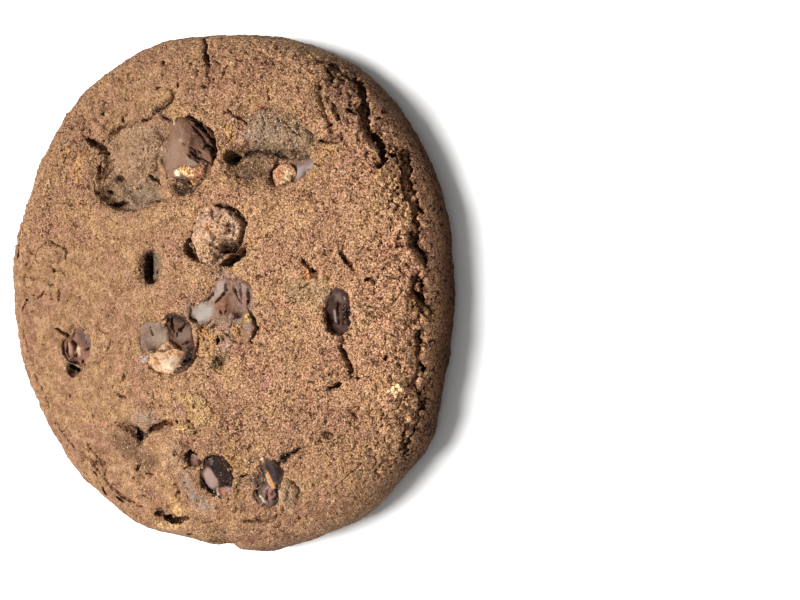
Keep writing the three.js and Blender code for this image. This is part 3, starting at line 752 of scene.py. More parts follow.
    (0.4, 0.45, [(-25.5, 4.1), (-24.7, 3.1), (-23.7, 3.3), (-22.5, 2.4)]),
    (0.35, 0.38, [(-30.2, -1.2), (-30.9, -2.2), (-31.5, -3.2)]),
    (0.35, 0.38, [(-27.0, 0.1), (-27.3, -0.6), (-28.0, -1.2)]),
    (0.5, 0.38, [(-24.0, 0.1), (-23.7, -1.6)]),
    (0.5, 0.45, [(-32.8, 10.6), (-32.6, 7.8), (-32.8, 5.0)]),
    # folds and pits in a row along the lower left edge
    (0.5, 0.35, [(-31.6, -6.2), (-30.6, -9.1), (-29.2, -11.9)]),
    (0.5, 0.40, [(-29.4, -12.9), (-27.4, -16.3), (-26.4, -18.5)]),
    (0.5, 0.45, [(-25.8, -19.5), (-24.2, -22.0), (-22.7, -23.8)]),
    (0.5, 0.40, [(-23.4, -22.9), (-21.1, -25.0), (-18.5, -26.7), (-17.2, -28.6)]),
    (0.5, 0.35, [(-19.3, -23.9), (-17.3, -25.7), (-16.2, -27.9), (-16.3, -30.2)]),
    (0.4, 0.35, [(-16.6, -29.5), (-13.9, -32.0), (-11.4, -32.9)]),
    (0.6, 0.8, [(-29.3, -13.8), (-29.0, -14.8)]),
    (0.6, 0.8, [(-26.0, -19.0), (-25.5, -20.1)]),
    (0.5, 0.8, [(-25.4, -21.0)]),
    (0.6, 0.9, [(-24.2, -21.5), (-23.6, -22.6)]),
    (0.5, 0.7, [(-22.0, -22.8)]),
    (0.9, 0.8, [(-23.4, -24.2), (-22.7, -25.3)]),
    (0.5, 0.6, [(-21.7, -25.0)]),
    (0.6, 0.8, [(-18.5, -24.7)]),
    (0.5, 0.7, [(-17.5, -25.1)]),
    (0.45, 0.8, [(-17.7, -26.5), (-17.9, -27.4)]),
    (0.45, 0.7, [(-16.3, -26.6), (-16.4, -27.4)]),
    (0.7, 0.6, [(-18.3, -28.2), (-18.1, -29.0)]),
    (0.5, 0.7, [(-17.6, -31.0), (-17.4, -32.2)]),
    (0.7, 0.7, [(-14.8, -32.4), (-13.7, -32.8)]),
    (0.6, 0.6, [(-9.7, -31.7), (-8.7, -31.9)]),
    (0.45, 0.6, [(-11.1, -33.3), (-9.6, -33.4)]),
    (0.6, 0.5, [(-8.7, -28.1), (-7.1, -28.1)]),
    (0.7, 0.8, [(-10.9, -29.0)]),
    (0.45, 0.5, [(-21.7, -16.0), (-21.9, -16.7)]),
]

# rise, softness and outline of each swelling or dip on the plan
doughSwells = [
    # the edges of the two hollows
    (-0.6, 0.6, [(-16.3, 23.0), (-14.3, 24.8), (-11.9, 25.8), (-9.4, 26.1), (-6.9, 26.6), (-5.2, 25.8),
        (-5.8, 21.5), (-6.4, 16.2), (-5.6, 14.0), (-7.0, 13.3), (-10.3, 12.4), (-13.7, 12.6), (-15.7, 13.8),
        (-17.1, 15.5), (-16.8, 17.5), (-15.8, 19.2), (-15.7, 21.4)]),
    (-0.6, 0.9, [(-15.7, 16.3), (-14.1, 17.2), (-11.2, 16.1), (-7.4, 15.7), (-6.0, 14.2), (-7.2, 13.3),
        (-10.3, 12.4), (-13.7, 12.6), (-15.7, 14.0), (-16.8, 15.4)]),
    (0.55, 1.8, [(-12.4, 19.0), (-11.4, 23.3), (-7.6, 25.0), (-5.8, 23.0), (-6.4, 19.1), (-8.1, 16.7),
        (-11.2, 16.8)]),
    (-0.6, 0.9, [(6.3, 21.7), (9.2, 22.0), (12.4, 21.2), (17.1, 20.4), (19.0, 20.2), (17.2, 19.2), (14.6, 19.3),
        (14.7, 16.6), (11.2, 15.8), (7.7, 15.9), (5.4, 17.8), (5.0, 19.9)]),
    (-0.45, 1.2, [(6.9, 21.2), (9.5, 21.6), (12.4, 20.9), (15.6, 20.2), (18.5, 20.7), (18.5, 19.9), (15.9, 19.4),
        (12.4, 19.9), (9.9, 20.4), (7.3, 20.1)]),
    (0.75, 1.6, [(7.2, 22.5), (8.1, 24.3), (10.0, 25.7), (11.9, 26.6), (14.5, 25.6), (17.0, 24.6), (18.6, 23.0),
        (19.0, 21.5), (17.1, 20.7), (14.6, 20.8), (11.7, 21.6), (9.2, 22.1)]),
    (0.35, 0.7, [(14.7, 24.2), (16.9, 24.3), (18.8, 22.6), (18.0, 21.1), (15.9, 21.0), (14.6, 22.3)]),
    # the funnel of the slot hole, shallower on its right
    (-0.4, 1.8, [(-9.0, 5.4), (-7.7, 6.4), (-6.1, 5.9), (-5.6, 3.5), (-6.3, 1.5), (-8.0, 1.2), (-9.2, 2.9)]),
    # the raised bead outside the split
    (0.45, 1.2, [(34.1, 14.8), (34.8, 8.9), (35.5, 4.2), (35.4, -1.4), (36.4, -1.4), (36.4, 4.2), (35.8, 9.7),
        (34.8, 15.0)]),
    (0.35, 1.2, [(35.1, -5.8), (35.1, -11.9), (34.8, -16.5), (33.5, -21.0), (31.9, -24.5), (32.2, -25.5),
        (34.1, -20.9), (35.4, -16.3), (36.2, -5.8)]),
    # dents under the chunk and in the hollows
    (-0.9, 0.8, [(-4.8, 16.3), (-4.0, 15.0), (-2.7, 14.3), (-0.8, 14.9), (-0.1, 15.7), (-2.3, 16.3)]),
    (0.45, 1.4, [(-15.7, 21.9), (-12.6, 25.2), (-7.7, 25.9), (-5.8, 21.5), (-7.4, 18.5), (-12.7, 17.7)]),
    (-0.5, 1.5, [(-16.6, 16.3), (-15.5, 13.3), (-11.7, 12.9), (-12.3, 15.6)]),
    (-0.35, 1.4, [(6.3, 19.1), (11.6, 19.4), (12.2, 17.0), (9.3, 16.5), (6.7, 17.2)]),
    # the smooth mound and the dome of the south
    (0.40, 1.6, [(-5.8, -22.7), (-3.8, -21.8), (-1.8, -23.4), (-2.2, -26.3), (-4.3, -27.0), (-5.9, -25.5)]),
    (0.55, 1.2, [(13.8, -29.3), (15.0, -28.3), (16.2, -29.2), (16.1, -31.1), (15.0, -32.0), (13.7, -31.1)]),
    (0.30, 1.4, [(-10.8, -19.2), (-8.0, -18.4), (-5.6, -19.1), (-7.0, -20.8), (-9.1, -21.0)]),
    # ragged crumbs round the golden net
    (0.30, 0.5, [(-2.6, -15.8), (1.1, -15.4), (3.0, -17.9), (2.2, -19.6), (0.2, -20.6), (-0.5, -17.9)]),
    (0.30, 0.5, [(-3.0, -20.4), (-0.7, -20.0), (-0.2, -21.3), (-3.1, -21.4)]),
    # the step of the torn crust
    (-0.35, 0.7, [(19.2, 34.4), (20.2, 33.7), (20.9, 32.8), (22.0, 29.7), (22.1, 25.3), (25.3, 26.0),
        (25.9, 27.6), (23.6, 31.9), (22.3, 33.2)]),
]

# depth under the surroundings, lean along x, where that starts, and outline of each floor that is filled up
doughFills = [
    (0.1, -0.5, -5.6, [(-8.0, 6.0), (-5.9, 5.8), (-5.5, 3.8), (-5.9, 1.7), (-8.0, 1.5)]),
    (1.0, 0.0, 7.3, [(7.2, 21.8), (10.1, 22.1), (14.0, 20.8), (18.7, 21.0), (18.8, 19.6), (14.7, 19.2),
        (11.1, 19.7), (7.6, 19.8)]),
    (0.55, 0.0, -14.4, [(-17.2, 17.3), (-14.1, 17.2), (-10.5, 13.0), (-13.7, 12.2), (-16.7, 13.4)]),
]

# colour, amount, smoothness, soft edge and outline of each patch of another colour; some are painted shade, shadow or
# light, as marked
doughPatches = [
    ((172, 138, 108), 0.7, 0.1, 2.4, [(-15.7, 23.5), (-12.6, 25.6), (-8.5, 26.4), (-5.2, 25.5), (-5.2, 18.4),
        (-7.4, 16.0), (-6.5, 13.9), (-10.0, 13.2), (-14.1, 14.7), (-15.8, 19.1)]),
    # painted shade along the lower side of the north-west hollow
    ((145, 123, 101), 0.75, 0.1, 2.0, [(-14.1, 15.9), (-11.8, 17.1), (-7.4, 16.0), (-6.0, 14.5), (-8.2, 13.5),
        (-12.6, 13.6)]),
    # painted shade in the crevice at the hollow's upper rim
    ((74, 56, 42), 0.85, 0.0, 1.0, [(-7.9, 27.9), (-6.4, 28.3), (-4.8, 28.5), (-4.3, 28.0), (-5.5, 27.3),
        (-4.7, 26.5), (-3.9, 25.9), (-4.5, 25.6), (-5.9, 26.3), (-6.8, 27.2)]),
    # painted shade in the lower left of the hollow, this patch and the next
    ((142, 114, 92), 0.5, 0.0, 1.0, [(-16.5, 18.0), (-14.8, 18.4), (-13.0, 17.1), (-14.1, 15.6), (-16.1, 16.0)]),
    ((139, 117, 100), 0.6, 0.0, 1.6, [(-16.4, 15.7), (-14.8, 15.6), (-12.4, 14.2), (-9.4, 13.2), (-9.4, 12.6),
        (-14.0, 12.7), (-15.7, 14.0)]),
    # painted shade in the dent under the chunk
    ((46, 33, 23), 0.9, 0.1, 0.8, [(-4.8, 16.3), (-4.0, 15.0), (-2.7, 14.3), (-0.8, 14.9), (-0.1, 15.7),
        (-2.3, 16.3)]),
    ((160, 138, 114), 0.85, 0.1, 1.8, [(7.0, 23.0), (8.4, 24.9), (11.0, 26.5), (13.1, 25.9), (16.4, 24.9),
        (18.6, 23.3), (19.3, 21.8), (17.1, 20.4), (14.9, 20.5), (12.4, 20.9), (9.2, 21.9)]),
    # painted shade along the upper edge of the mound
    ((104, 84, 66), 0.6, 0.0, 1.6, [(7.2, 24.6), (9.0, 26.5), (11.3, 27.3), (14.4, 26.9), (17.0, 25.6),
        (16.4, 24.9), (13.2, 26.1), (11.0, 26.3), (8.8, 24.9)]),
    ((174, 136, 100), 0.5, 0.0, 1.4, [(14.4, 24.1), (17.0, 24.1), (18.9, 22.4), (17.9, 21.0), (14.9, 21.4)]),
    # painted shadow under the overhanging mound
    ((118, 104, 86), 0.8, 0.0, 1.2, [(6.9, 21.3), (9.5, 21.8), (12.1, 21.2), (15.3, 20.3), (18.4, 20.8),
        (18.8, 20.1), (16.5, 19.2), (13.4, 19.3), (10.2, 20.0), (7.3, 19.8)]),
    # painted shadow in the deep hole left of the hollow
    ((34, 24, 18), 0.95, 0.0, 0.7, [(4.5, 19.9), (5.6, 20.5), (7.3, 20.1), (7.0, 19.4), (5.3, 19.1)]),
    ((114, 90, 68), 0.85, 0.1, 2.0, [(6.5, 19.6), (11.1, 19.9), (12.1, 18.8), (12.1, 17.3), (10.2, 16.5),
        (7.3, 16.8), (6.2, 18.4)]),
    ((188, 158, 144), 0.8, 0.5, 0.7, [(12.0, 18.8), (12.6, 18.5), (12.5, 15.5), (11.8, 15.4)]),
    ((228, 182, 118), 0.8, 0.0, 0.6, [(5.2, 25.0), (6.0, 25.0), (6.1, 23.5), (5.7, 22.4), (5.2, 22.9)]),
    ((225, 160, 105), 0.7, 0.0, 0.5, [(9.8, 28.0), (10.4, 27.8), (10.3, 27.1)]),
    ((172, 152, 140), 0.85, 0.55, 1.2, [(4.6, 2.2), (5.5, 1.8), (5.1, 0.1), (4.1, -0.9), (3.0, -1.8), (2.5, -1.4),
        (3.5, 0.1)]),
    ((158, 130, 116), 0.7, 0.45, 1.4, [(-0.5, -1.8), (2.0, -1.4), (3.8, 0.1), (5.8, 2.2), (7.7, 1.6), (9.7, 0.1),
        (10.3, -3.2), (9.7, -7.3), (6.4, -7.9), (3.5, -7.4), (1.2, -5.6), (-0.8, -4.7), (-1.5, -3.2)]),
    ((150, 118, 104), 0.6, 0.2, 1.2, [(3.2, 4.3), (5.5, 4.3), (6.1, 1.9), (3.5, 1.9)]),
    ((208, 192, 190), 0.85, 0.6, 0.5, [(-9.2, -10.0), (-7.7, -9.9), (-7.5, -10.7), (-9.0, -10.8)]),
    ((222, 160, 112), 0.7, 0.0, 0.7, [(-7.0, -10.5), (-5.8, -10.4), (-5.5, -11.6), (-6.5, -11.9)]),
    ((96, 78, 60), 0.8, 0.0, 1.2, [(2.8, -9.5), (4.5, -9.0), (5.3, -10.2), (4.9, -11.6), (3.3, -11.6)]),
    ((176, 150, 142), 0.7, 0.4, 0.8, [(4.3, -7.8), (5.8, -8.3), (5.8, -9.0), (4.3, -8.9)]),
    ((216, 172, 146), 0.75, 0.3, 0.3, [(-3.3, 4.4), (-2.5, 4.9), (-1.7, 4.8), (-1.7, 4.5), (-2.5, 4.6),
        (-3.1, 4.2)]),
    ((232, 158, 104), 0.85, 0.0, 0.7, [(17.5, 3.6), (17.9, 2.9), (18.5, 2.1), (19.4, 1.5), (19.3, 2.0),
        (18.6, 2.7), (17.9, 3.9)]),
    ((222, 150, 100), 0.5, 0.0, 0.5, [(20.1, 4.0), (20.7, 3.9), (20.5, 3.4)]),
    ((168, 146, 112), 0.55, 0.0, 2.0, [(14.9, 0.8), (17.3, 1.4), (20.7, 1.0), (22.1, -0.1), (21.5, -1.4),
        (18.1, -1.7), (15.4, -1.4)]),
    # the slot hole: painted shade round its funnel and down its left side, a painted black shadow in its core, and a
    # painted lit right wall that darkens deeper in
    ((120, 88, 66), 0.6, 0.2, 1.8, [(-9.2, 5.4), (-7.8, 6.4), (-6.6, 5.6), (-7.0, 2.0), (-8.0, 1.1), (-9.4, 2.9)]),
    ((84, 58, 42), 0.8, 0.2, 1.6, [(-8.9, 5.0), (-8.2, 6.1), (-7.5, 6.1), (-7.5, 1.5), (-8.0, 1.1), (-8.7, 2.4)]),
    ((6, 4, 3), 1.0, 0.0, 0.6, [(-8.6, 5.4), (-8.2, 5.8), (-7.9, 5.3), (-7.8, 3.8), (-7.9, 2.1), (-8.2, 1.5),
        (-8.6, 2.8)]),
    ((138, 113, 92), 0.9, 0.4, 0.9, [(-7.8, 5.8), (-6.1, 5.9), (-5.4, 4.4), (-5.5, 2.9), (-6.1, 1.5), (-7.8, 1.5)]),
    ((92, 74, 60), 0.9, 0.4, 1.4, [(-7.9, 5.5), (-7.4, 5.6), (-7.0, 4.4), (-7.0, 2.9), (-7.4, 1.8), (-7.9, 1.8)]),
    ((110, 84, 64), 0.55, 0.0, 1.2, [(-1.2, 8.7), (-0.5, 9.2), (-0.2, 7.1), (-0.5, 5.9), (0.5, 4.8), (-0.2, 4.4),
        (-1.5, 5.9)]),
    ((158, 118, 100), 0.5, 0.1, 1.0, [(-23.1, -7.7), (-22.0, -7.2), (-22.3, -10.5), (-23.2, -10.2)]),
    # painted shadow in the hole under the west chip
    ((20, 15, 11), 0.97, 0.0, 0.7, [(-22.5, -11.3), (-21.7, -11.2), (-20.0, -12.0), (-19.9, -12.8),
        (-20.8, -13.3), (-22.1, -12.7)]),
    ((182, 150, 124), 0.7, 0.2, 0.7, [(-22.1, -10.6), (-21.1, -10.8), (-20.2, -11.4), (-19.3, -11.4),
        (-19.9, -11.8), (-21.3, -11.4)]),
    # painted highlight on the smooth mound
    ((184, 156, 132), 0.8, 0.3, 1.6, [(-10.8, -19.5), (-9.0, -18.8), (-7.5, -18.5), (-5.9, -19.2), (-7.2, -20.6),
        (-8.9, -21.0), (-10.3, -20.4)]),
    ((34, 25, 18), 0.93, 0.0, 1.1, [(-12.1, -20.3), (-11.0, -20.8), (-9.6, -21.5), (-8.4, -21.8), (-9.3, -23.8),
        (-10.4, -23.1)]),
    ((104, 88, 66), 0.6, 0.0, 0.8, [(-8.2, -21.1), (-6.1, -20.3), (-3.9, -19.8), (-3.9, -20.5), (-6.1, -21.4),
        (-7.9, -21.9)]),
    ((80, 58, 41), 0.62, 0.0, 2.2, [(-14.3, -22.1), (-11.4, -22.6), (-10.1, -23.8), (-7.7, -25.1), (-6.3, -26.5),
        (-7.8, -27.4), (-10.9, -26.3), (-13.7, -24.6)]),
    ((204, 162, 128), 0.55, 0.1, 1.6, [(-5.7, -22.7), (-3.8, -21.9), (-1.8, -23.5), (-2.0, -26.1), (-3.9, -27.1),
        (-5.8, -25.5)]),
    ((216, 175, 119), 0.8, 0.0, 0.9, [(-2.6, -15.9), (1.1, -15.5), (1.7, -16.6), (3.1, -17.9), (2.3, -19.5),
        (0.2, -20.6), (-0.7, -19.6), (-0.1, -18.4), (-0.4, -17.2), (-1.3, -16.6)]),
    ((224, 183, 126), 0.85, 0.0, 0.6, [(-3.0, -20.5), (-1.7, -20.2), (-0.1, -20.9), (-0.4, -21.3), (-3.0, -21.4)]),
    ((120, 104, 76), 0.7, 0.0, 0.6, [(0.1, -16.5), (1.1, -16.3), (1.4, -17.0), (0.4, -17.4)]),
    ((170, 126, 112), 0.6, 0.2, 0.8, [(-3.5, -17.0), (-1.6, -16.8), (-1.3, -18.5), (-3.0, -18.7)]),
    ((168, 152, 140), 0.7, 0.35, 1.6, [(-2.6, -27.2), (-1.6, -27.5), (-0.6, -30.5), (1.5, -32.0), (2.1, -33.4),
        (0.6, -33.6), (-1.2, -32.1), (-2.7, -30.0)]),
    # painted shadow in the deep slit beside the broken chip
    ((10, 7, 5), 0.98, 0.0, 0.4, [(13.7, -25.5), (13.9, -24.5), (14.6, -24.0), (15.5, -23.8), (16.8, -23.3),
        (17.0, -23.6), (15.8, -24.4), (15.1, -25.2), (14.3, -25.8)]),
    # painted shadow in the gap between the south chips
    ((10, 7, 5), 0.98, 0.0, 0.4, [(5.7, -27.3), (6.7, -27.7), (6.5, -28.5), (5.9, -28.8)]),
    ((112, 86, 64), 0.6, 0.0, 0.8, [(6.7, -28.1), (8.4, -27.7), (10.3, -27.3), (10.9, -27.9), (8.6, -28.6),
        (7.0, -29.0)]),
    # painted shadow in the gaps round the small chip, this patch and the next but one
    ((14, 9, 7), 0.97, 0.0, 0.4, [(-1.8, -26.0), (-1.7, -24.9), (-1.1, -24.3), (-0.3, -24.3), (0.4, -24.7),
        (0.2, -25.2), (-0.6, -25.3), (-1.2, -26.1)]),
    ((16, 10, 8), 0.95, 0.0, 0.4, [(0.9, -26.2), (1.4, -25.2), (2.2, -24.7), (3.0, -24.8), (2.7, -25.2),
        (1.9, -25.7), (1.3, -26.4)]),
    ((180, 148, 118), 0.7, 0.1, 1.0, [(13.8, -29.3), (15.0, -28.4), (16.2, -29.2), (16.1, -31.1), (14.9, -32.3),
        (13.7, -31.1)]),
    ((178, 140, 92), 0.6, 0.0, 1.0, [(6.2, -25.7), (7.5, -25.0), (8.4, -25.9), (8.4, -27.1), (7.1, -27.4),
        (6.1, -26.9)]),
    ((108, 78, 64), 0.7, 0.3, 0.6, [(8.8, -24.4), (10.1, -24.2), (10.6, -24.7), (9.4, -25.2), (8.6, -25.0)]),
    ((236, 196, 138), 0.8, 0.0, 0.6, [(-8.3, -35.7), (-6.7, -36.1), (-3.0, -35.8), (-3.1, -36.5), (-6.6, -37.2),
        (-8.7, -36.7)]),
    ((226, 180, 120), 0.7, 0.0, 0.7, [(-5.0, -32.0), (-3.9, -31.6), (-2.9, -34.1), (-4.1, -34.7), (-5.2, -33.3)]),
    ((226, 170, 112), 0.6, 0.0, 0.6, [(-20.1, 21.8), (-19.3, 20.8), (-19.6, 18.1), (-19.9, 16.7), (-20.7, 17.1),
        (-21.0, 19.3), (-20.7, 20.8)]),
    ((224, 176, 120), 0.7, 0.0, 0.4, [(-22.8, 22.6), (-22.0, 22.3), (-22.1, 21.7)]),
    ((228, 158, 108), 0.7, 0.0, 0.5, [(-16.2, -20.2), (-15.1, -20.3), (-15.5, -20.9)]),
    ((216, 164, 122), 0.5, 0.0, 0.9, [(-0.7, 39.4), (0.6, 39.2), (2.3, 36.8), (1.4, 36.5)]),
    ((186, 146, 96), 0.5, 0.0, 1.6, [(19.3, 20.6), (21.7, 21.2), (22.9, 20.3), (22.4, 18.5), (20.3, 18.0),
        (19.0, 19.2)]),
    ((122, 92, 70), 0.45, 0.0, 1.6, [(18.5, 34.0), (20.3, 33.7), (23.4, 32.7), (25.4, 28.9), (25.7, 25.3),
        (22.7, 24.7), (20.7, 28.1)]),
    ((128, 100, 76), 0.5, 0.0, 1.5, [(14.7, 36.0), (17.4, 35.8), (20.0, 34.5), (23.3, 32.9), (21.8, 34.8),
        (18.0, 37.2), (14.7, 38.3)]),
]


# where the crust is coarse, level or crumbling: places in millimetres, shares of the way to the edge
zones = {
    "coarseShape": (-24, 10),
    "coarseLook": (-24, 8),
    "cornerX": (-11, -19),
    "cornerY": (1, 11),
    "cornerShare": 0.85,
    "front": (-32, -20),
    "frontShare": 0.5,
    "rim": (0.74, 0.86),
    "rimFront": (-34, -24),
    "upper": (6, 9),
    "upward": (0.0, 0.3),
    "aboveWall": (4, 7),
    "hollowEdge": (0.93, 0.86),
    "hollowHeight": (6, 8),
    "split": (2.8, 0.6),
    "splitReach": 3,
}


def edgeShare(points):
    # 0 in the middle of the cookie, 1 at its widest
    turn = np.arctan2(points[:, 1], points[:, 0])
    reach = np.hypot(points[:, 0], points[:, 1])
    count = 120
    bins = ((turn + math.pi) / (2 * math.pi) * count).astype(int) % count
    widest = np.zeros(count)
    np.maximum.at(widest, bins, reach)
    middles = np.linspace(-math.pi, math.pi, count + 1) + math.pi / count
    return reach / np.interp(turn, middles, np.append(widest, widest[0]))


def upperShare(points):
    return ease(points[:, 2], *zones["upper"])


def upwardShare(surface):
    # 1 where the top faces up, 0 on the lower wall and the base
    return ease(surface.normals()[:, 2], *zones["upward"]) * ease(surface.points[:, 2], *zones["aboveWall"])


# what counts as a sharp edge when the flat facets are evened out, and how far those edges are torn
facets = {"spread": 2, "sharp": (0.06, 0.25), "around": 6, "gain": 2.0, "torn": 0.28}


def smoothFacets(surface):
    # evens out the CAD body's flat facets but leaves its cracks and sockets
    smooth = surface.blur(surface.points, dough["facetRounds"])
    sunk = ((smooth - surface.points) * surface.normals()).sum(1)
    sharp = ease(np.abs(surface.blur(sunk, facets["spread"])), *facets["sharp"])
    sharp = np.clip(surface.blur(sharp, facets["around"]) * facets["gain"], 0, 1)
    surface.points = surface.blur(surface.points, dough["facetRounds"], 1 - sharp)
    push = surface.ragged(facets["torn"]) - surface.points[:, :2]
    surface.points[:, :2] += push * (sharp * upperShare(surface.points))[:, None]
    surface.save()


def cutNotch(surface):
    # the step in the front edge, left of the lip
    lip, points = dough["lip"], surface.points
    x, y = points[:, 0] - lip["at"][0], points[:, 1] - lip["at"][1]
    share = ease(x, *lip["left"]) * ease(x, *lip["right"]) * ease(y, *lip["front"])
    points[:, 1] += lip["step"] * share


def nearSplit(flat):
    # 1 beside the split of the rim, 0 from three millimetres away
    share = np.zeros(len(flat))
    for *_, way in rimCracks:
        near = masked(flat, way, zones["splitReach"], lambda p, w: ease(toWay(p, w), *zones["split"]))
        share = np.maximum(share, near)
    return share


def heightMap(points, cell):
    # the highest point in each square of the plan, ninety millimetres across
    count = int(90 / cell)
    spot = np.clip((points[:, :2] / cell + count / 2).astype(int), 0, count - 1)
    highest = np.zeros((count, count))
    np.maximum.at(highest, (spot[:, 0], spot[:, 1]), points[:, 2])
    return highest


def neighbours(grid):
    # the grid moved by one cell in every direction, and itself
    return [np.roll(grid, (stepX - 1, stepY - 1), (0, 1)) for stepX, stepY in np.ndindex(3, 3)]


def hollowness(points):
    # how far each point lies under the highest dough within about two millimetres
    highest = heightMap(points, 1.0)
    count = len(highest)
    around = highest
    for moved in neighbours(highest):
        around = np.maximum(around, moved)
    smooth = sum(neighbours(around)) / 9
    near = np.clip(points[:, :2] + count / 2 - 0.5, 0, count - 2)
    low = near.astype(int)
    partX, partY = (near - low).T
    x, y = low.T
    left = smooth[x, y] * (1 - partY) + smooth[x, y + 1] * partY
    right = smooth[x + 1, y] * (1 - partY) + smooth[x + 1, y + 1] * partY
    depth = np.maximum(left * (1 - partX) + right * partX - points[:, 2], 0)
    return depth * ease(edgeShare(points), *zones["hollowEdge"]) * ease(points[:, 2], *zones["hollowHeight"])


# the dough beside the chips: how far it reaches, where it starts and ends, and how far it stays below the top
beside = {"reach": 1.8, "furthest": 2, "under": (1.85, 2.0), "near": (0.3, 0.9), "below": 0.25}


def socketRing(flat):
    # 1 on the dough beside the chips, 0 under every chip and away from them
    most = beside["furthest"]
    under, near = np.zeros(len(flat)), np.zeros(len(flat))
    for recipe in chips.values():
        if recipe.get("tight"):
            away = masked(flat, recipe["outline"], beside["reach"],
                          lambda p, w: most - np.clip(toWay(p, w, True), -1, most))
            under = np.maximum(under, ease(away, *beside["under"]))
            near = np.maximum(near, ease(away, *beside["near"]))
    return near * (1 - under)


# the floors that are filled up: least depth, soft edge and how their outlines are torn
fills = {"leastDepth": 0.1, "soft": 0.6, "torn": 0.12}


def fillUp(surface, facing):
    # lifts the floors in the list, and the dough round each chip up to the chip's outline
    points, flat = surface.points, surface.ragged(fills["torn"])
    level = points[:, 2] + hollowness(points)
    for depth, lean, startX, outline in doughFills:
        floor = level - np.maximum(depth + lean * (points[:, 0] - startX), fills["leastDepth"])
        points[:, 2] += np.maximum(floor - points[:, 2], 0) * patchMask(flat, outline, fills["soft"]) * facing
    points[:, 2] += np.maximum(level - beside["below"] - points[:, 2], 0) * socketRing(flat) * facing


# the relief of the crust, in the order in which it is made
crustRelief = {
    "base": {"height": (0.35, 0.05), "facing": (-0.5, -0.9)},
    "topFacing": (0.0, 0.7),
    "lumps": {"large": 2, "fine": (0.7, 0.3, 0.5), "calm": 0.55, "calmRim": (0.93, 0.99)},
    "pits": {"sizes": (0.7, 0.36), "seeds": (11, 12), "from": (0.86, 0.16, 0.20), "soft": 0.2, "sides": (0.3, 0.7)},
    "hairs": {"sizes": (3.2, 1.1), "seeds": (21, 22), "share": 0.35, "width": 0.07, "patch": 8.0, "patchSeed": 23,
              "rim": 0.5, "corner": 0.4, "where": (0.1, 0.5)},
    "wrinkles": {"turns": ((-172, -155), (-85, -105)), "rim": (0.86, 0.93), "stretch": (5.0, 5.0, 1.3), "seed": 41,
                 "rise": 0.30, "cut": 0.3, "cutFrom": (0.15, 0.5)},
    "pores": {"sizes": (0.9, 0.45), "seeds": (51, 52), "where": (0.30, 0.75), "inside": (0.97, 0.86), "least": 0.05},
}


def shapeCrust(surface, sleek):
    base, lumps, pits, hairs, wrinkles, pores = (
        crustRelief[key] for key in ("base", "lumps", "pits", "hairs", "wrinkles", "pores"))
    normals = surface.normals()
    points = surface.points.copy()
    x, y, z = points.T
    share = edgeShare(points)
    isBase = ease(z, *base["height"]) * ease(normals[:, 2], *base["facing"])
    isTop = ease(normals[:, 2], *crustRelief["topFacing"])
    lift = np.zeros(len(points))
    rough = 1 - sleek
    corner = ease(y, *zones["cornerY"]) * ease(x, *zones["cornerX"])
    coarse = np.maximum(ease(x, *zones["coarseShape"]), zones["cornerShare"] * corner)
    rimZone = ease(share, *zones["rim"]) * ease(y, *zones["rimFront"])
    coarse *= zones["frontShare"] + (1 - zones["frontShare"]) * ease(y, *zones["front"])
    calm = 1 - lumps["calm"] * ease(share, *lumps["calmRim"])
    least, onCoarse, onRim = lumps["fine"]
    for seed, (size, rise) in enumerate(dough["lumps"], 1):
        gain = 1.0 if size > lumps["large"] else rough * (least + onCoarse * coarse + onRim * rimZone) * calm
        lift += noiseField(points, size, seed) * rise * gain
    # small pits, most of them on the coarse side and round the rim
    start, onCoarse, onRim = pits["from"]
    pitEdge = start - onCoarse * coarse - onRim * rimZone
    pitted = ease(brokenField(points, pits["sizes"], pits["seeds"]), pitEdge, pitEdge + pits["soft"])
    lift -= pitted * dough["pitDepth"] * rough * (pits["sides"][0] + pits["sides"][1] * isTop)
    # hairline cracks in patches
    line = np.abs(brokenField(points, hairs["sizes"], hairs["seeds"], hairs["share"]))
    patch = noiseField(points, hairs["patch"], hairs["patchSeed"]) + hairs["rim"] * rimZone + hairs["corner"] * corner
    lift -= ease(line, hairs["width"], 0.0) * ease(patch, *hairs["where"]) * isTop * rough * dough["hairDepth"]
    # wrinkles along the lower left of the wall
    turn = np.degrees(np.arctan2(y, x))
    first, last = wrinkles["turns"]
    wrinkled = ease(turn, *first) * ease(turn, *last) * ease(share, *wrinkles["rim"]) * (1 - isBase)
    ridge = noiseField(points / np.array(wrinkles["stretch"]), 1.0, wrinkles["seed"])
    lift += wrinkled * (wrinkles["rise"] * ridge - wrinkles["cut"] * ease(ridge, *wrinkles["cutFrom"]))
    # open pores of the base, which only go up into the dough
    porous = ease(brokenField(points, pores["sizes"], pores["seeds"]), *pores["where"])
    porous = porous * ease(share, *pores["inside"]) * dough["poreDepth"] + pores["least"]
    lift = lift * (1 - isBase) - isBase * porous
    surface.points += normals * lift[:, None]
    surface.points[:, 2] = np.maximum(surface.points[:, 2], 0.0)
    surface.keepInside()


def sliceOff(piece, name, cuts):
    # a closed piece of the dough, cut off level at one or two heights
    part = newPiece(name, piece.data.copy())
    selectOnly(part)
    bpy.ops.object.mode_set(mode="EDIT")
    for height, side in cuts:
        bpy.ops.mesh.select_all(action="SELECT")
        bpy.ops.mesh.bisect(plane_co=(0, 0, height * mm), plane_no=(0, 0, 1), use_fill=True, **{side: True})
    bpy.ops.mesh.select_all(action="SELECT")
    bpy.ops.mesh.quads_convert_to_tris()
    bpy.ops.object.mode_set(mode="OBJECT")
    return part


# how edges are torn, the loosened dough beside the split, the painted shade on the outer wall of the right-hand rim,
# and what chips are set by
doughSteps = {
    "torn": {"wide": 0.34, "thin": 0.14, "patches": 0.22},
    "plateSoft": 2.4,
    "splitLift": (0.6, 1.4),
    "splitPlates": [(1.0, 0.30, 0.26), (0.5, 0.22, 0.16)],
    "dimRim": (0.95, 1.0),
    "dimTurn": 0.15,
    "dimSide": (0.4, 0.9),
    "groundFacing": 0.3,
    "smoothAngle": 80,
}


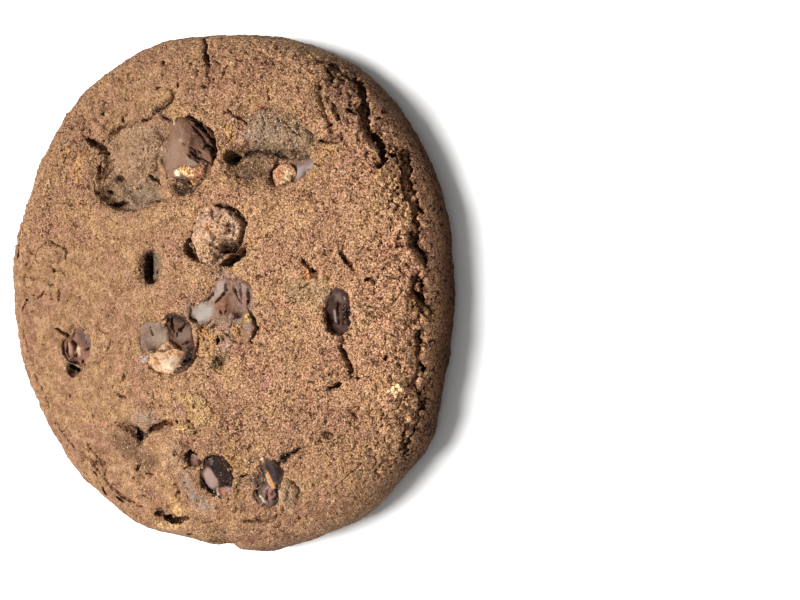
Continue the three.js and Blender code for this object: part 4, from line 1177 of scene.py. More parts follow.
def buildDough():
    steps, torn = doughSteps, doughSteps["torn"]
    whole = mergedCopy("cookie_dough", "doughWhole")
    applyModifier(whole, "REMESH", mode="VOXEL", voxel_size=dough["voxel"] * mm)
    surface = Surface(whole)
    smoothFacets(surface)
    cutNotch(surface)
    facing = upwardShare(surface)
    fillUp(surface, facing)
    for size, rise, gap, outline in doughPlates:
        zone = patchMask(surface.points[:, :2], outline, steps["plateSoft"])
        surface.crackle(size, rise, gap, facing * zone)
    split = nearSplit(surface.points[:, :2])
    gain, most = steps["splitLift"]
    surface.points[:, 2] += np.minimum(hollowness(surface.points) * gain, most) * facing * split
    for size, rise, gap in steps["splitPlates"]:
        surface.crackle(size, rise, gap, facing * split)
    cracks = rimCracks + doughCracks
    wide = [cut for cut in cracks if cut[0] > dough["thinCut"]]
    thin = [cut for cut in cracks if cut[0] <= dough["thinCut"]]
    surface.carve(wide, doughSwells, facing, surface.ragged(torn["wide"]))
    surface.save()
    applyModifier(whole, "REMESH", mode="VOXEL", voxel_size=dough["voxel"] * mm)
    surface = Surface(whole)
    print("dough points", len(surface.points))
    surface.carve(thin, [], upwardShare(surface), surface.ragged(torn["thin"]))
    upper = upperShare(surface.points)
    sleek = surface.paint(surface.ragged(torn["patches"]), doughPatches, upper, cracks, dough["crackShade"])
    shapeCrust(surface, sleek)
    surface.markHollow()
    # how far each point lies under the dough round it; the material paints these deep places near black as shade
    storeLayer(whole, "deep", hollowness(surface.points))
    # painted shade: the outer wall of the rim that faces right, away from the key light, is darkened
    turn = np.arctan2(surface.points[:, 1], surface.points[:, 0])
    dim = ease(edgeShare(surface.points), *steps["dimRim"]) * ease(np.cos(turn - steps["dimTurn"]), *steps["dimSide"])
    storeLayer(whole, "dim", dim)
    surface.save()
    top = surface.points[surface.normals()[:, 2] > steps["groundFacing"]]
    low, high = dough["cutHeights"]
    parts = [sliceOff(whole, "doughBase", [(low, "clear_outer")]),
             sliceOff(whole, "doughWall", [(low, "clear_inner"), (high, "clear_outer")]),
             sliceOff(whole, "doughTop", [(high, "clear_inner")])]
    bpy.data.objects.remove(whole)
    for part in parts:
        count = len(part.data.polygons)
        thinOut(part, count, dough["triangles"][part.name])
        selectOnly(part)
        bpy.ops.object.shade_smooth_by_angle(angle=math.radians(steps["smoothAngle"]))
        print(part.name, count, len(part.data.polygons))
        settle(part, "cookie_dough", "baked_dough")
    return parts, top[top[:, 2] > high]


# the dough's colours; pit and deep are painted shade for pits, creases and deep holes
doughColours = {
    "sand": tone(188, 142, 107),
    "pink": tone(176, 127, 99),
    "straw": tone(196, 152, 106),
    "pit": tone(90, 38, 11),
    "pale": tone(252, 214, 174),
    "deep": tone(30, 20, 15),
    "base": tone(122, 84, 64),
}


# noise settings and limits, share on fine crumb, what coarse crumb adds, and gains of the darkest and the lightest
crumbSways = {
    "grain": ((0.24, 3.0, 0.7), (0.37, 0.63), 0.15, 0.82, (0.33, 0.24, 0.16), (1.66, 1.72, 1.84)),
    "lumps": ((0.75, 2.0, 0.6), (0.3, 0.7), 1.0, -0.5, (0.82, 0.78, 0.73), (1.17, 1.20, 1.24)),
    "broad": ((1.7, 2.0, 0.6), (0.3, 0.7), 1.0, -0.6, (0.74, 0.70, 0.65), (1.24, 1.27, 1.30)),
}

# noise settings, gains of coarse crumb and of the clumps, and limits, for small and for large pits, which take a
# painted shade
crumbPits = [
    ((0.44, 2.5, 0.65, 0.5), 0.062, 0.28, (-0.325, -0.295)),
    ((0.85, 2.5, 0.65, 0.9), 0.085, 0.24, (-0.285, -0.255)),
]

crumbDetail = {
    "clump": (3.2, 2.0, 0.6),
    "edge": (27, 33),
    "edgeShare": 0.3,
    "speck": {"noise": (0.27, 1.0), "clump": 0.1, "limits": (0.645, 0.69), "fine": 0.5, "coarse": 0.5},
    "smallShare": 0.8,
    "pitShare": (0.72, 0.2),
    "heights": {"grain": 0.7, "holes": 1.3, "lumps": 0.9, "cells": (0.5, 0.0, 0.5, 0.7, 0.0), "broad": 1.8},
    "broadNoise": (1.3, 3.0, 0.6),
}


def crumbLook(ink, colour, sleek):
    # grains, pale specks and sharp pits over a colour, the pits painted dark as their shade, all of which fade out
    # where the surface is smooth
    c, heights, speck = doughColours, crumbDetail["heights"], crumbDetail["speck"]
    rough = 1 - sleek
    x, y = ink.axes()[:2]
    coarse = ink.across(x, zones["coarseLook"])
    corner = ink.across(y, zones["cornerY"]) * ink.across(x, zones["cornerX"])
    pitted = 1 - (1 - coarse) * (1 - corner * zones["cornerShare"])
    pitted = pitted + ink.across(x, crumbDetail["edge"]) * crumbDetail["edgeShare"]
    pitted = pitted * ink.across(y, zones["front"], zones["frontShare"])
    clump = ink.noise(*crumbDetail["clump"]) - 0.5
    fields = {}
    for key, (noise, limits, fine, added, dark, light) in crumbSways.items():
        fields[key] = ink.noise(*noise)
        colour = ink.sway((fine + pitted * added) * rough, ink.band(fields[key], *limits), colour, dark, light)
    specks = ink.band(ink.noise(*speck["noise"]) + clump * speck["clump"], *speck["limits"])
    colour = ink.mix(specks * rough * (speck["fine"] + coarse * speck["coarse"]), colour, c["pale"])
    small, large = [ink.band(pitted * onCoarse + clump * onClump - ink.noise(*noise), *limits)
                    for noise, onCoarse, onClump, limits in crumbPits]
    holes = 1 - (1 - small * crumbDetail["smallShare"]) * (1 - large)
    least, added = crumbDetail["pitShare"]
    # painted shade in the pits
    colour = ink.mix(holes * rough * (least + pitted * added), colour, c["pit"])
    cellSize, *cellBand = heights["cells"]
    height = fields["grain"] * heights["grain"] - holes * heights["holes"] + fields["lumps"] * heights["lumps"]
    height = height + ink.band(ink.cells(cellSize), *cellBand)
    return colour, (height + ink.noise(*crumbDetail["broadNoise"]) * heights["broad"]) * rough


# gains that paint light and shade across the dough: darker to the left and lighter to the right against the key light
# from the left, a lighter band round the right-hand rim, darker low on the wall (painted shade, partly also the
# browner bake there), a little lighter at the front and darker at the back; axis, two places in millimetres and the
# gain at each
lightAndShadeGains = [
    ("x", (-34, 32), 0.87, 1.22),
    ("x", (22, 37), 1.0, 1.42),
    ("z", (3, 11.5), 0.5, 1.0),
    ("y", (-42, -16), 1.03, 1.0),
    ("y", (12, 38), 1.0, 0.89),
]

doughLook = {
    "pinkNoise": (7.0, 3.0, 0.6),
    "pink": (0.42, 0.62),
    "sandNoise": (2.2, 3.0, 0.6),
    "sand": (0.35, 0.65),
    "shadeX": (-6, 4),
    "shadeY": (-13, -20),
    "shade": 0.16,
    "base": (1.6, 0.3),
    "baseShare": 0.9,
    "hollow": (0.04, 0.16),
    "hollowShare": 0.8,
    "deep": (2.0, 3.6),
    "deepShare": 0.94,
    "dimGains": (0.20, 0.14, 0.10),
    "bumpDepth": 0.22,
    "roughness": (0.92, 0.4),
}


def doughMaterial():
    ink = Ink("bakedDough")
    c, look = doughColours, doughLook
    axes = dict(zip("xyz", ink.axes()))
    sleek = ink.attribute("sleek")
    colour = ink.mix(ink.band(ink.noise(*look["pinkNoise"]), *look["pink"]), c["straw"], c["pink"])
    colour = ink.mix(ink.band(ink.noise(*look["sandNoise"]), *look["sand"]), colour, c["sand"])
    # painted light and shade across the dough
    for axis, ends, first, last in lightAndShadeGains:
        colour = ink.scale(colour, ink.across(axes[axis], ends, first, last))
    shade = ink.across(axes["x"], look["shadeX"]) * ink.across(axes["y"], look["shadeY"])
    colour = ink.scale(colour, 1 - shade * look["shade"])
    colour = ink.mix(ink.across(axes["z"], look["base"]) * look["baseShare"], colour, c["base"])
    colour = ink.mix(ink.attribute("tint", "Alpha"), colour, ink.attribute("tint", "Color"))
    colour, height = crumbLook(ink, colour, sleek)
    # painted shade in creases and hollows
    colour = ink.mix(ink.band(ink.attribute("fine"), *look["hollow"]) * look["hollowShare"], colour, c["pit"])
    # painted shade, near black, in deep holes
    colour = ink.mix(ink.band(ink.attribute("deep"), *look["deep"]) * look["deepShare"], colour, c["deep"])
    # painted shade on the outer wall of the right-hand rim
    colour = ink.mix(ink.attribute("dim"), colour, ink.times(colour, look["dimGains"]))
    highest, drop = look["roughness"]
    return ink.finish(colour, highest - sleek * drop, ink.bump(height, look["bumpDepth"]))


# chocolate pieces and large crumbs

chips = {
    "chunk_northwest": {
        "outline": [(-6.5, 21.2), (-5.8, 23.3), (-4.5, 25.3), (-3.0, 26.2), (-1.2, 25.9), (1.1, 24.6),
            (2.4, 23.0), (3.4, 21.0), (3.7, 19.0), (2.7, 17.6), (1.1, 16.9), (-0.8, 15.9), (-2.8, 16.6),
            (-4.3, 16.8), (-5.9, 16.8), (-6.7, 18.2), (-6.6, 19.7)],
        "facets": [((-3.7, 21.1), 0.42, 0.17, 0.0), ((-0.4, 21.9), 0.8, -0.3, 0.0),
            ((-3.0, 18.0), 0.75, 0.0, 0.3), ((-1.8, 24.7), 0.7, -0.05, -0.3)],
        "name": "milkChunk", "slot": "milk_chocolate", "colour": (147, 109, 84), "merge": 0.25, "sleek": 0.85,
        "cuts": [
            (0.3, 0.3, [(-2.4, 22.6), (-1.5, 22.0)]),
            (0.35, 0.5, [(-0.7, 21.1), (0.0, 20.5), (0.8, 19.9)]),
            (0.6, 0.9, [(1.1, 21.4), (1.6, 22.0), (2.1, 22.3)]),
            (0.6, 1.3, [(-0.8, 26.0), (0.6, 25.0), (1.9, 23.6)]),
            (0.9, 1.6, [(1.9, 23.6), (3.0, 22.1), (3.5, 20.3), (3.6, 18.6), (2.9, 17.9)]),
            (0.5, 0.6, [(-5.7, 17.1), (-3.6, 17.2), (-1.6, 16.8), (-0.3, 15.8)]),
            (0.4, 0.6, [(-1.2, 20.7), (-0.3, 20.1), (0.7, 19.3)]),
            (0.3, 0.5, [(-1.0, 21.8), (0.0, 21.3), (1.0, 20.8)]),
            (0.3, 0.5, [(-0.2, 21.3), (0.3, 20.2)]),
            (0.45, 0.6, [(-0.3, 24.8), (0.8, 23.7), (1.5, 22.4)]),
            (1.4, 0.9, [(1.8, 22.1), (2.6, 21.2), (3.0, 19.7), (3.0, 18.5)]),
            (0.4, 0.5, [(0.8, 20.2), (1.9, 19.4), (2.9, 18.9)]),
        ],
        "swells": [
            (-0.45, 0.8, [(-0.2, 23.4), (1.9, 23.0), (3.0, 20.3), (1.9, 18.8), (0.7, 19.7), (-0.7, 21.2)]),
            (0.45, 0.6, [(-4.0, 18.4), (-3.0, 18.8), (-1.3, 19.0), (-0.1, 18.6), (1.0, 19.0), (2.0, 18.6),
                (1.4, 17.3), (-0.3, 16.7), (-1.6, 17.1), (-3.0, 17.4)]),
            (0.3, 0.5, [(-6.9, 20.0), (-6.1, 20.0), (-5.4, 18.1), (-5.2, 17.0), (-6.2, 17.1)]),
        ],
        "patches": [
            ((162, 128, 99), 0.85, 0.15, 1.2, [(-7.2, 21.6), (-6.0, 23.7), (-5.2, 23.6), (-5.6, 21.2),
                (-5.7, 19.0), (-6.9, 19.1)]),
            ((164, 130, 109), 0.6, 0.9, 2.0, [(-5.3, 21.5), (-3.8, 23.3), (-2.4, 22.6), (-2.0, 20.1),
                (-3.7, 18.7), (-5.0, 19.0)]),
            ((114, 77, 56), 0.85, 0.7, 2.0, [(-1.8, 25.6), (0.9, 24.0), (2.0, 22.4), (1.0, 20.0), (-1.0, 21.3),
                (-1.8, 23.5)]),
            ((92, 60, 46), 0.8, 0.8, 1.6, [(-1.1, 25.6), (0.6, 24.9), (2.3, 22.4), (1.3, 21.8), (-0.1, 23.1)]),
            ((128, 88, 68), 0.8, 0.7, 0.4, [(-1.0, 21.0), (-0.2, 21.3), (0.8, 20.3), (0.3, 19.8), (-0.7, 20.2)]),
            ((150, 112, 92), 0.7, 0.8, 0.4, [(0.0, 21.9), (0.8, 21.7), (1.5, 20.9), (0.7, 20.7)]),
            # painted shadow in the gap on the chunk's right
            ((24, 15, 11), 0.95, 0.3, 0.6, [(1.4, 22.3), (2.1, 22.4), (2.8, 21.5), (3.2, 20.3), (3.4, 18.8),
                (3.0, 18.5), (2.8, 19.7), (2.2, 21.1)]),
            ((98, 56, 40), 0.85, 0.6, 0.5, [(2.0, 21.1), (2.6, 21.0), (2.9, 20.0), (2.8, 18.9), (2.3, 19.1)]),
            ((62, 38, 27), 0.85, 0.5, 0.6, [(1.1, 21.9), (2.0, 22.4), (2.5, 21.5), (1.7, 20.9)]),
            ((58, 33, 22), 0.8, 0.4, 0.7, [(-0.9, 21.2), (0.0, 21.0), (1.0, 19.9), (0.5, 19.4), (-0.7, 20.4)]),
            ((200, 175, 158), 0.8, 0.8, 0.5, [(-2.8, 22.9), (-2.1, 23.0), (-2.2, 22.4)]),
            ((147, 124, 131), 0.5, 0.9, 0.5, [(-2.3, 24.3), (-1.8, 24.2), (-1.9, 22.7), (-2.3, 22.9)]),
            ((164, 138, 124), 0.6, 0.8, 0.9, [(-1.2, 20.4), (0.4, 19.5), (0.7, 18.8), (-0.6, 19.0), (-1.7, 19.8)]),
            ((58, 37, 26), 0.8, 0.3, 0.7, [(-5.7, 16.9), (-3.6, 17.1), (-1.6, 16.8), (0.1, 15.7), (-1.3, 15.6),
                (-4.0, 16.4)]),
            ((290, 234, 173), 0.95, 0.0, 0.5, [(-2.7, 18.6), (-1.8, 19.1), (-0.6, 18.9), (0.4, 18.1),
                (-0.1, 17.2), (-1.3, 17.4), (-2.3, 17.9)]),
            ((184, 128, 90), 0.9, 0.0, 0.5, [(-0.1, 18.3), (1.0, 19.1), (2.0, 18.8), (1.9, 17.7), (1.1, 16.9),
                (-0.6, 16.3), (-1.3, 16.8), (-0.1, 17.2)]),
            ((271, 245, 206), 0.95, 0.1, 0.4, [(-3.9, 18.1), (-3.2, 18.5), (-2.5, 18.0), (-2.8, 17.4),
                (-3.7, 17.5)]),
            ((214, 160, 112), 0.7, 0.0, 0.8, [(-6.9, 20.0), (-6.3, 20.0), (-5.4, 18.1), (-5.2, 17.0),
                (-6.0, 17.1), (-6.6, 18.5)]),
            ((200, 168, 138), 0.8, 0.2, 0.3, [(-5.7, 21.8), (-5.1, 21.8), (-5.0, 21.2), (-5.6, 21.2)]),
        ],
    },
    "melt_northeast": {
        "outline": [(14.6, 19.3), (15.6, 19.5), (17.2, 19.3), (18.9, 19.2), (19.4, 18.6), (17.8, 17.4),
            (15.8, 16.2), (15.1, 16.6), (15.0, 17.8)],
        "facets": [((16.9, 18.2), 0.1, 0.1, 0.3), ((15.6, 18.7), 0.2, -0.3, 0.0)],
        "name": "meltedWedge", "slot": "melted_chocolate", "colour": (145, 115, 102), "merge": 0.5, "sleek": 0.9,
        "cuts": [(0.4, 0.3, [(15.8, 18.8), (15.6, 18.1)])],
        "swells": [],
        "patches": [
            ((184, 167, 160), 0.85, 1.0, 1.4, [(15.6, 18.2), (19.0, 18.7), (17.6, 17.4), (15.8, 16.5)]),
            ((120, 88, 72), 0.6, 0.8, 1.0, [(14.6, 19.3), (17.2, 19.2), (16.5, 18.5), (15.0, 18.4)]),
        ],
    },
    "chip_centre": {
        "outline": [(0.7, 10.8), (1.1, 12.0), (2.4, 12.8), (3.9, 12.8), (5.3, 12.5), (6.7, 11.5), (7.6, 10.3),
            (8.0, 9.1), (7.3, 7.7), (6.3, 6.8), (5.0, 6.7), (4.3, 5.8), (3.6, 5.5), (3.5, 4.8), (3.0, 4.0),
            (2.1, 3.9), (1.2, 4.6), (0.5, 5.4), (0.3, 6.2), (-0.2, 6.7), (-0.3, 7.9), (0.1, 9.3)],
        "facets": [((2.1, 8.8), 1.0, 0.08, -0.02), ((5.8, 9.4), 0.9, -0.12, 0.0), ((2.2, 6.1), 0.7, 0.0, 0.25),
            ((3.4, 11.8), 0.7, 0.0, -0.35)],
        "name": "crumbedChip", "slot": "crumbed_chocolate", "colour": (232, 184, 146), "tight": True,
        "merge": 0.3, "sleek": 0.12,
        "cuts": [
            (0.8, 1.8, [(3.1, 13.1), (4.2, 12.8), (5.1, 12.8), (6.5, 12.2), (7.6, 11.2), (8.3, 10.1), (8.2, 8.9),
                (7.3, 7.6)]),
            (0.9, 1.8, [(7.3, 7.6), (6.3, 6.5), (5.2, 6.0), (4.0, 5.7)]),
            (0.5, 0.5, [(5.1, 11.4), (4.8, 10.9)]),
            (0.6, 0.5, [(4.5, 10.3)]),
            (0.5, 0.5, [(4.3, 9.5)]),
            (0.6, 0.5, [(3.3, 12.4), (3.5, 11.2), (3.8, 10.6)]),
            (0.5, 0.35, [(5.9, 10.3), (6.3, 9.4), (5.8, 8.6), (5.1, 8.2)]),
            (0.5, 0.35, [(6.7, 10.0), (6.9, 8.9), (6.3, 7.9), (5.4, 7.4)]),
            (0.5, 0.4, [(5.1, 6.7), (3.8, 6.4), (3.1, 7.0)]),
            (0.6, 0.6, [(1.3, 11.4), (1.8, 11.7)]),
        ],
        "swells": [
            (0.4, 0.6, [(0.5, 9.2), (2.1, 10.1), (3.5, 8.2), (2.8, 4.9), (1.2, 4.9), (0.0, 6.8)]),
            (0.3, 0.5, [(3.8, 10.3), (5.4, 10.6), (5.8, 8.8), (4.5, 8.2)]),
        ],
        "patches": [
            ((168, 138, 128), 0.7, 0.4, 1.0, [(1.5, 11.6), (2.6, 11.2), (2.5, 10.3), (1.5, 10.2)]),
            ((172, 142, 130), 0.7, 0.4, 1.0, [(1.0, 9.9), (2.0, 9.9), (1.8, 8.9), (1.0, 8.7)]),
            ((232, 160, 108), 0.7, 0.1, 0.6, [(2.1, 9.9), (2.8, 10.2), (3.3, 9.0), (2.6, 8.8)]),
            ((158, 110, 84), 0.7, 0.3, 1.0, [(5.3, 10.0), (6.4, 10.1), (6.6, 8.8), (5.6, 8.3), (5.1, 8.9)]),
            ((150, 110, 90), 0.7, 0.4, 1.0, [(3.1, 12.4), (5.4, 12.4), (5.8, 11.5), (4.1, 10.8), (3.1, 11.2)]),
            ((220, 190, 158), 0.7, 0.2, 0.6, [(6.1, 10.4), (7.2, 10.3), (7.4, 8.8), (6.3, 7.4), (5.4, 7.4),
                (6.6, 8.8)]),
            ((236, 206, 164), 0.7, 0.1, 0.6, [(-0.2, 7.7), (0.3, 8.0), (0.5, 6.2), (0.0, 6.3)]),
            ((96, 70, 56), 0.7, 0.3, 0.8, [(4.8, 7.2), (6.8, 7.6), (7.1, 7.0), (5.5, 6.0), (4.0, 5.8), (3.5, 6.4)]),
            ((206, 164, 104), 0.6, 0.1, 1.0, [(1.2, 6.8), (2.5, 6.4), (2.2, 5.2), (1.2, 5.5)]),
        ],
    },
    "melt_centre": {
        "outline": [(-0.8, -4.2), (-0.3, -2.3), (1.0, -1.8), (2.0, -1.2), (3.0, 0.0), (3.7, 1.0), (4.3, 1.9),
            (5.5, 2.1), (6.4, 1.6), (7.9, 1.6), (9.2, 1.0), (9.6, -0.2), (9.5, -1.8), (9.4, -3.2), (8.2, -3.6),
            (6.8, -3.5), (5.9, -4.2), (4.8, -4.4), (3.5, -4.1), (2.7, -4.5), (1.2, -5.3), (-0.3, -4.8)],
        "facets": [((1.2, -3.5), 0.12, 0.02, 0.04), ((4.8, -1.4), 0.14, 0.0, 0.0), ((7.7, -1.1), 0.05, -0.05, 0.0)],
        "name": "meltedSmear", "slot": "melted_chocolate", "colour": (154, 118, 98), "tight": True, "merge": 0.9,
        "sleek": 0.7,
        "cuts": [
            (0.5, 0.7, [(1.9, -1.7), (2.9, -0.9), (3.6, -0.1)]),
            (0.5, 0.8, [(6.7, 0.8), (7.0, -1.1)]),
            (0.5, 0.7, [(8.9, 0.4), (8.9, -0.8), (8.7, -2.3), (9.0, -3.1)]),
            (0.4, 0.8, [(4.4, -3.0), (4.7, -3.6)]),
            (0.35, 0.7, [(5.4, -2.8), (5.2, -3.4)]),
            (0.5, 0.8, [(6.3, -4.1), (6.3, -5.1)]),
            (0.35, 0.4, [(5.5, -2.0), (5.3, -3.0)]),
            (0.4, 0.4, [(7.1, -1.2), (7.7, -2.0)]),
            (0.4, 0.5, [(5.5, 1.5), (5.5, 0.1), (4.6, -1.1), (3.7, -1.8)]),
            (0.4, 0.4, [(7.7, 1.2), (7.8, -0.2), (7.5, -1.4)]),
        ],
        "swells": [(-0.35, 1.0, [(5.5, -0.8), (9.4, 0.4), (9.7, -1.4), (7.7, -3.2), (5.8, -3.2)])],
        "patches": [
            ((152, 102, 76), 0.9, 0.8, 0.9, [(3.5, -1.4), (4.8, -0.8), (6.0, -1.2), (5.9, -3.2), (4.8, -3.8),
                (3.7, -2.9)]),
            ((182, 170, 158), 0.95, 0.9, 1.6, [(-0.2, -2.6), (1.3, -1.8), (3.2, -2.3), (3.2, -3.6), (1.8, -4.8),
                (0.2, -4.8), (-0.5, -3.8)]),
            ((184, 161, 147), 0.9, 0.8, 0.9, [(4.3, 1.6), (5.3, 1.5), (5.1, 0.1), (4.3, -0.9), (3.2, -1.8),
                (2.7, -1.5), (3.8, 0.1)]),
            ((160, 124, 109), 0.7, 0.6, 0.8, [(7.1, 1.0), (8.7, 1.0), (8.7, -2.3), (7.4, -2.6), (6.8, -1.1)]),
            ((176, 156, 148), 0.7, 0.8, 0.8, [(7.9, 1.0), (8.7, 0.7), (8.7, -0.2), (7.9, 0.0)]),
        ],
    },
    "chip_melt": {
        "outline": [(6.0, -4.4), (7.1, -3.7), (8.4, -3.4), (9.6, -3.8), (10.2, -5.1), (10.1, -6.6), (9.2, -7.6),
            (7.7, -7.9), (6.3, -7.4), (5.8, -6.0)],
        "facets": [((8.1, -5.5), 0.35, 0.02, 0.0), ((9.2, -5.5), 0.35, -0.3, 0.0), ((7.7, -7.0), 0.3, 0.0, 0.25)],
        "name": "smearChip", "slot": "crumbed_chocolate", "colour": (175, 132, 99), "tight": True, "merge": 0.7,
        "sleek": 0.4,
        "cuts": [
            (0.7, 1.0, [(9.4, -3.2), (10.0, -4.4), (10.3, -5.6), (10.0, -6.6), (9.3, -7.6)]),
            (0.5, 0.5, [(6.3, -4.1), (6.3, -5.3), (5.8, -6.0)]),
            (0.4, 0.4, [(7.4, -5.3), (7.9, -6.0), (7.6, -6.7)]),
        ],
        "swells": [(0.25, 0.5, [(6.6, -5.0), (7.7, -4.7), (8.4, -5.8), (7.4, -6.9), (6.4, -6.2)])],
        "patches": [
            ((181, 165, 159), 0.85, 0.8, 0.7, [(6.4, -3.8), (7.7, -3.8), (7.7, -5.3), (6.6, -5.1)]),
            ((233, 196, 124), 0.8, 0.0, 0.6, [(8.2, -3.6), (9.4, -3.5), (9.4, -4.5), (8.4, -4.7)]),
            ((155, 126, 116), 0.8, 0.6, 0.8, [(8.6, -4.8), (9.8, -4.6), (10.0, -6.1), (8.9, -6.4)]),
            ((216, 165, 116), 0.8, 0.1, 0.7, [(6.6, -5.0), (7.7, -4.8), (8.1, -6.1), (7.1, -6.7), (6.3, -6.0)]),
            ((247, 227, 196), 0.8, 0.2, 0.35, [(9.9, -6.4), (10.2, -7.2), (9.7, -7.3)]),
        ],
    },
    "crumb_gold": {
        "outline": [(0.9, -5.4), (2.1, -5.1), (2.9, -4.0), (4.1, -3.7), (5.1, -4.4), (5.0, -5.9), (4.9, -7.1),
            (4.6, -8.3), (3.6, -9.3), (2.5, -10.2), (1.1, -10.0), (0.6, -8.6), (0.7, -7.0)],
        "facets": [((2.5, -7.1), 0.3, 0.0, 0.02)],
        "name": "goldLump", "slot": "golden_crumb", "colour": (204, 158, 115), "tight": True, "merge": 0.8,
        "sleek": 0.0,
        "cuts": [
            (0.6, 0.7, [(2.4, -8.7)]),
            (0.5, 0.5, [(2.3, -7.5)]),
            (0.7, 1.1, [(4.2, -6.8), (4.2, -8.0)]),
            (0.5, 0.6, [(3.6, -5.9), (3.0, -6.2)]),
            (0.4, 0.4, [(1.3, -6.8), (1.8, -7.8)]),
        ],
        "swells": [],
        "patches": [
            ((197, 149, 125), 0.85, 0.1, 0.8, [(2.8, -4.4), (4.1, -3.8), (5.1, -4.7), (4.6, -6.0), (3.1, -5.9)]),
            ((28, 19, 15), 0.95, 0.1, 0.5, [(3.7, -6.8), (4.3, -6.5), (4.6, -7.5), (4.1, -8.1), (3.7, -7.7)]),
            ((153, 107, 68), 0.7, 0.0, 0.7, [(1.8, -8.1), (2.8, -8.1), (3.0, -9.0), (2.0, -9.2)]),
            ((237, 214, 184), 0.8, 0.0, 0.4, [(2.3, -5.7), (2.9, -5.9), (2.6, -6.3)]),
        ],
    },
    "chip_cluster": {
        "outline": [(-5.0, -4.3), (-3.2, -3.3), (-1.5, -3.9), (-0.6, -5.5), (-0.4, -6.8), (-0.3, -8.2),
            (0.0, -9.2), (-0.4, -10.7), (-1.4, -12.0), (-2.9, -12.7), (-3.7, -11.4), (-2.6, -9.9), (-2.4, -8.5),
            (-3.2, -7.9), (-4.2, -7.3)],
        "facets": [((-2.5, -6.5), 0.05, 0.06, 0.0), ((-2.9, -4.7), 0.0, 0.0, -0.25),
            ((-1.2, -9.8), 0.1, -0.2, 0.0)],
        "name": "crackedChip", "slot": "dark_chocolate", "colour": (112, 78, 62), "tight": True, "merge": 0.12,
        "sleek": 0.85,
        "cuts": [
            (0.7, 1.2, [(-3.9, -4.2), (-3.9, -5.6), (-4.0, -7.0)]),
            (0.7, 1.1, [(-3.6, -6.2), (-2.5, -6.1), (-1.3, -5.0)]),
            (0.4, 1.0, [(-3.1, -6.2), (-3.1, -7.1)]),
            (0.6, 0.9, [(-2.2, -8.1), (-0.7, -7.7)]),
            (1.0, 0.9, [(-1.9, -10.7), (-0.8, -10.5)]),
        ],
        "swells": [(-0.4, 0.6, [(-4.9, -4.1), (-3.2, -3.5), (-1.2, -4.4), (-2.5, -4.7), (-4.6, -4.7)])],
        "patches": [
            # painted shadow along the top edge of the chip
            ((28, 18, 13), 0.9, 0.6, 0.9, [(-4.8, -4.2), (-3.2, -3.3), (-1.5, -4.2), (-1.0, -5.0), (-2.2, -4.7),
                (-3.5, -4.3), (-4.6, -4.7)]),
            ((132, 107, 93), 0.85, 0.9, 0.9, [(-3.6, -6.5), (-2.2, -6.2), (-0.8, -5.3), (-0.7, -7.0),
                (-1.5, -7.6), (-3.2, -7.4)]),
            ((32, 15, 9), 0.95, 0.45, 0.7, [(-1.5, -8.3), (-0.4, -8.8), (-0.2, -10.1), (-1.2, -11.5),
                (-2.9, -12.3), (-1.9, -10.2)]),
            ((26, 17, 13), 0.9, 0.3, 0.5, [(-2.1, -10.3), (-0.5, -10.2), (-0.7, -11.0), (-2.1, -11.1)]),
        ],
    },
    "melt_cluster": {
        "outline": [(-9.3, -9.2), (-9.1, -7.0), (-8.9, -5.3), (-7.5, -4.8), (-6.1, -4.8), (-4.5, -4.6),
            (-3.9, -6.8), (-4.4, -7.8), (-5.3, -8.4), (-6.3, -9.0), (-7.7, -9.4)],
        "facets": [((-7.0, -7.2), 0.08, 0.0, 0.0)],
        "name": "greyPatch", "slot": "melted_chocolate", "colour": (164, 134, 115), "tight": True, "merge": 0.35,
        "sleek": 0.8,
        "cuts": [(0.4, 0.3, [(-7.3, -5.5), (-7.1, -6.9)])],
        "swells": [],
        "patches": [
            ((176, 152, 130), 0.8, 0.8, 1.2, [(-7.3, -6.0), (-5.9, -5.6), (-5.4, -7.0), (-6.6, -8.4),
                (-7.5, -7.8)]),
            ((144, 113, 96), 0.6, 0.7, 0.8, [(-9.0, -5.2), (-7.5, -5.2), (-7.7, -9.0), (-9.1, -9.0)]),
            ((152, 122, 96), 0.7, 0.3, 0.7, [(-5.3, -5.3), (-4.2, -5.0), (-4.1, -6.5), (-5.1, -7.0)]),
        ],
    },
    "crumb_cream": {
        "outline": [(-7.8, -9.6), (-6.9, -8.8), (-6.5, -7.3), (-5.4, -6.8), (-4.3, -7.5), (-3.0, -7.7),
            (-1.9, -8.2), (-1.5, -9.4), (-2.1, -10.8), (-2.9, -12.1), (-4.3, -12.7), (-6.1, -12.3), (-7.3, -11.6),
            (-7.9, -10.8)],
        "facets": [((-4.2, -10.2), 0.55, 0.0, -0.05), ((-2.6, -9.9), 0.5, -0.3, 0.0),
            ((-5.6, -10.8), 0.5, 0.25, 0.1), ((-4.6, -11.7), 0.5, 0.0, 0.35)],
        "name": "creamLump", "slot": "pale_crumb", "colour": (244, 197, 154), "tight": True, "merge": 0.5,
        "sleek": 0.4,
        "cuts": [
            (0.5, 0.6, [(-6.6, -9.1), (-5.5, -9.2), (-4.2, -8.4)]),
            (0.4, 0.5, [(-5.5, -7.8)]),
            (0.35, 0.3, [(-4.6, -9.3), (-3.6, -9.9)]),
        ],
        "swells": [(0.25, 0.6, [(-5.6, -9.6), (-3.6, -9.0), (-2.6, -10.2), (-3.9, -11.7), (-5.6, -11.4)])],
        "patches": [
            ((230, 174, 123), 0.8, 0.5, 1.0, [(-4.9, -8.4), (-2.2, -8.0), (-1.5, -9.2), (-2.6, -10.2),
                (-4.2, -9.3)]),
            ((258, 223, 191), 0.9, 0.75, 0.9, [(-5.6, -10.8), (-3.9, -10.2), (-2.7, -10.5), (-3.6, -12.0),
                (-5.3, -11.9)]),
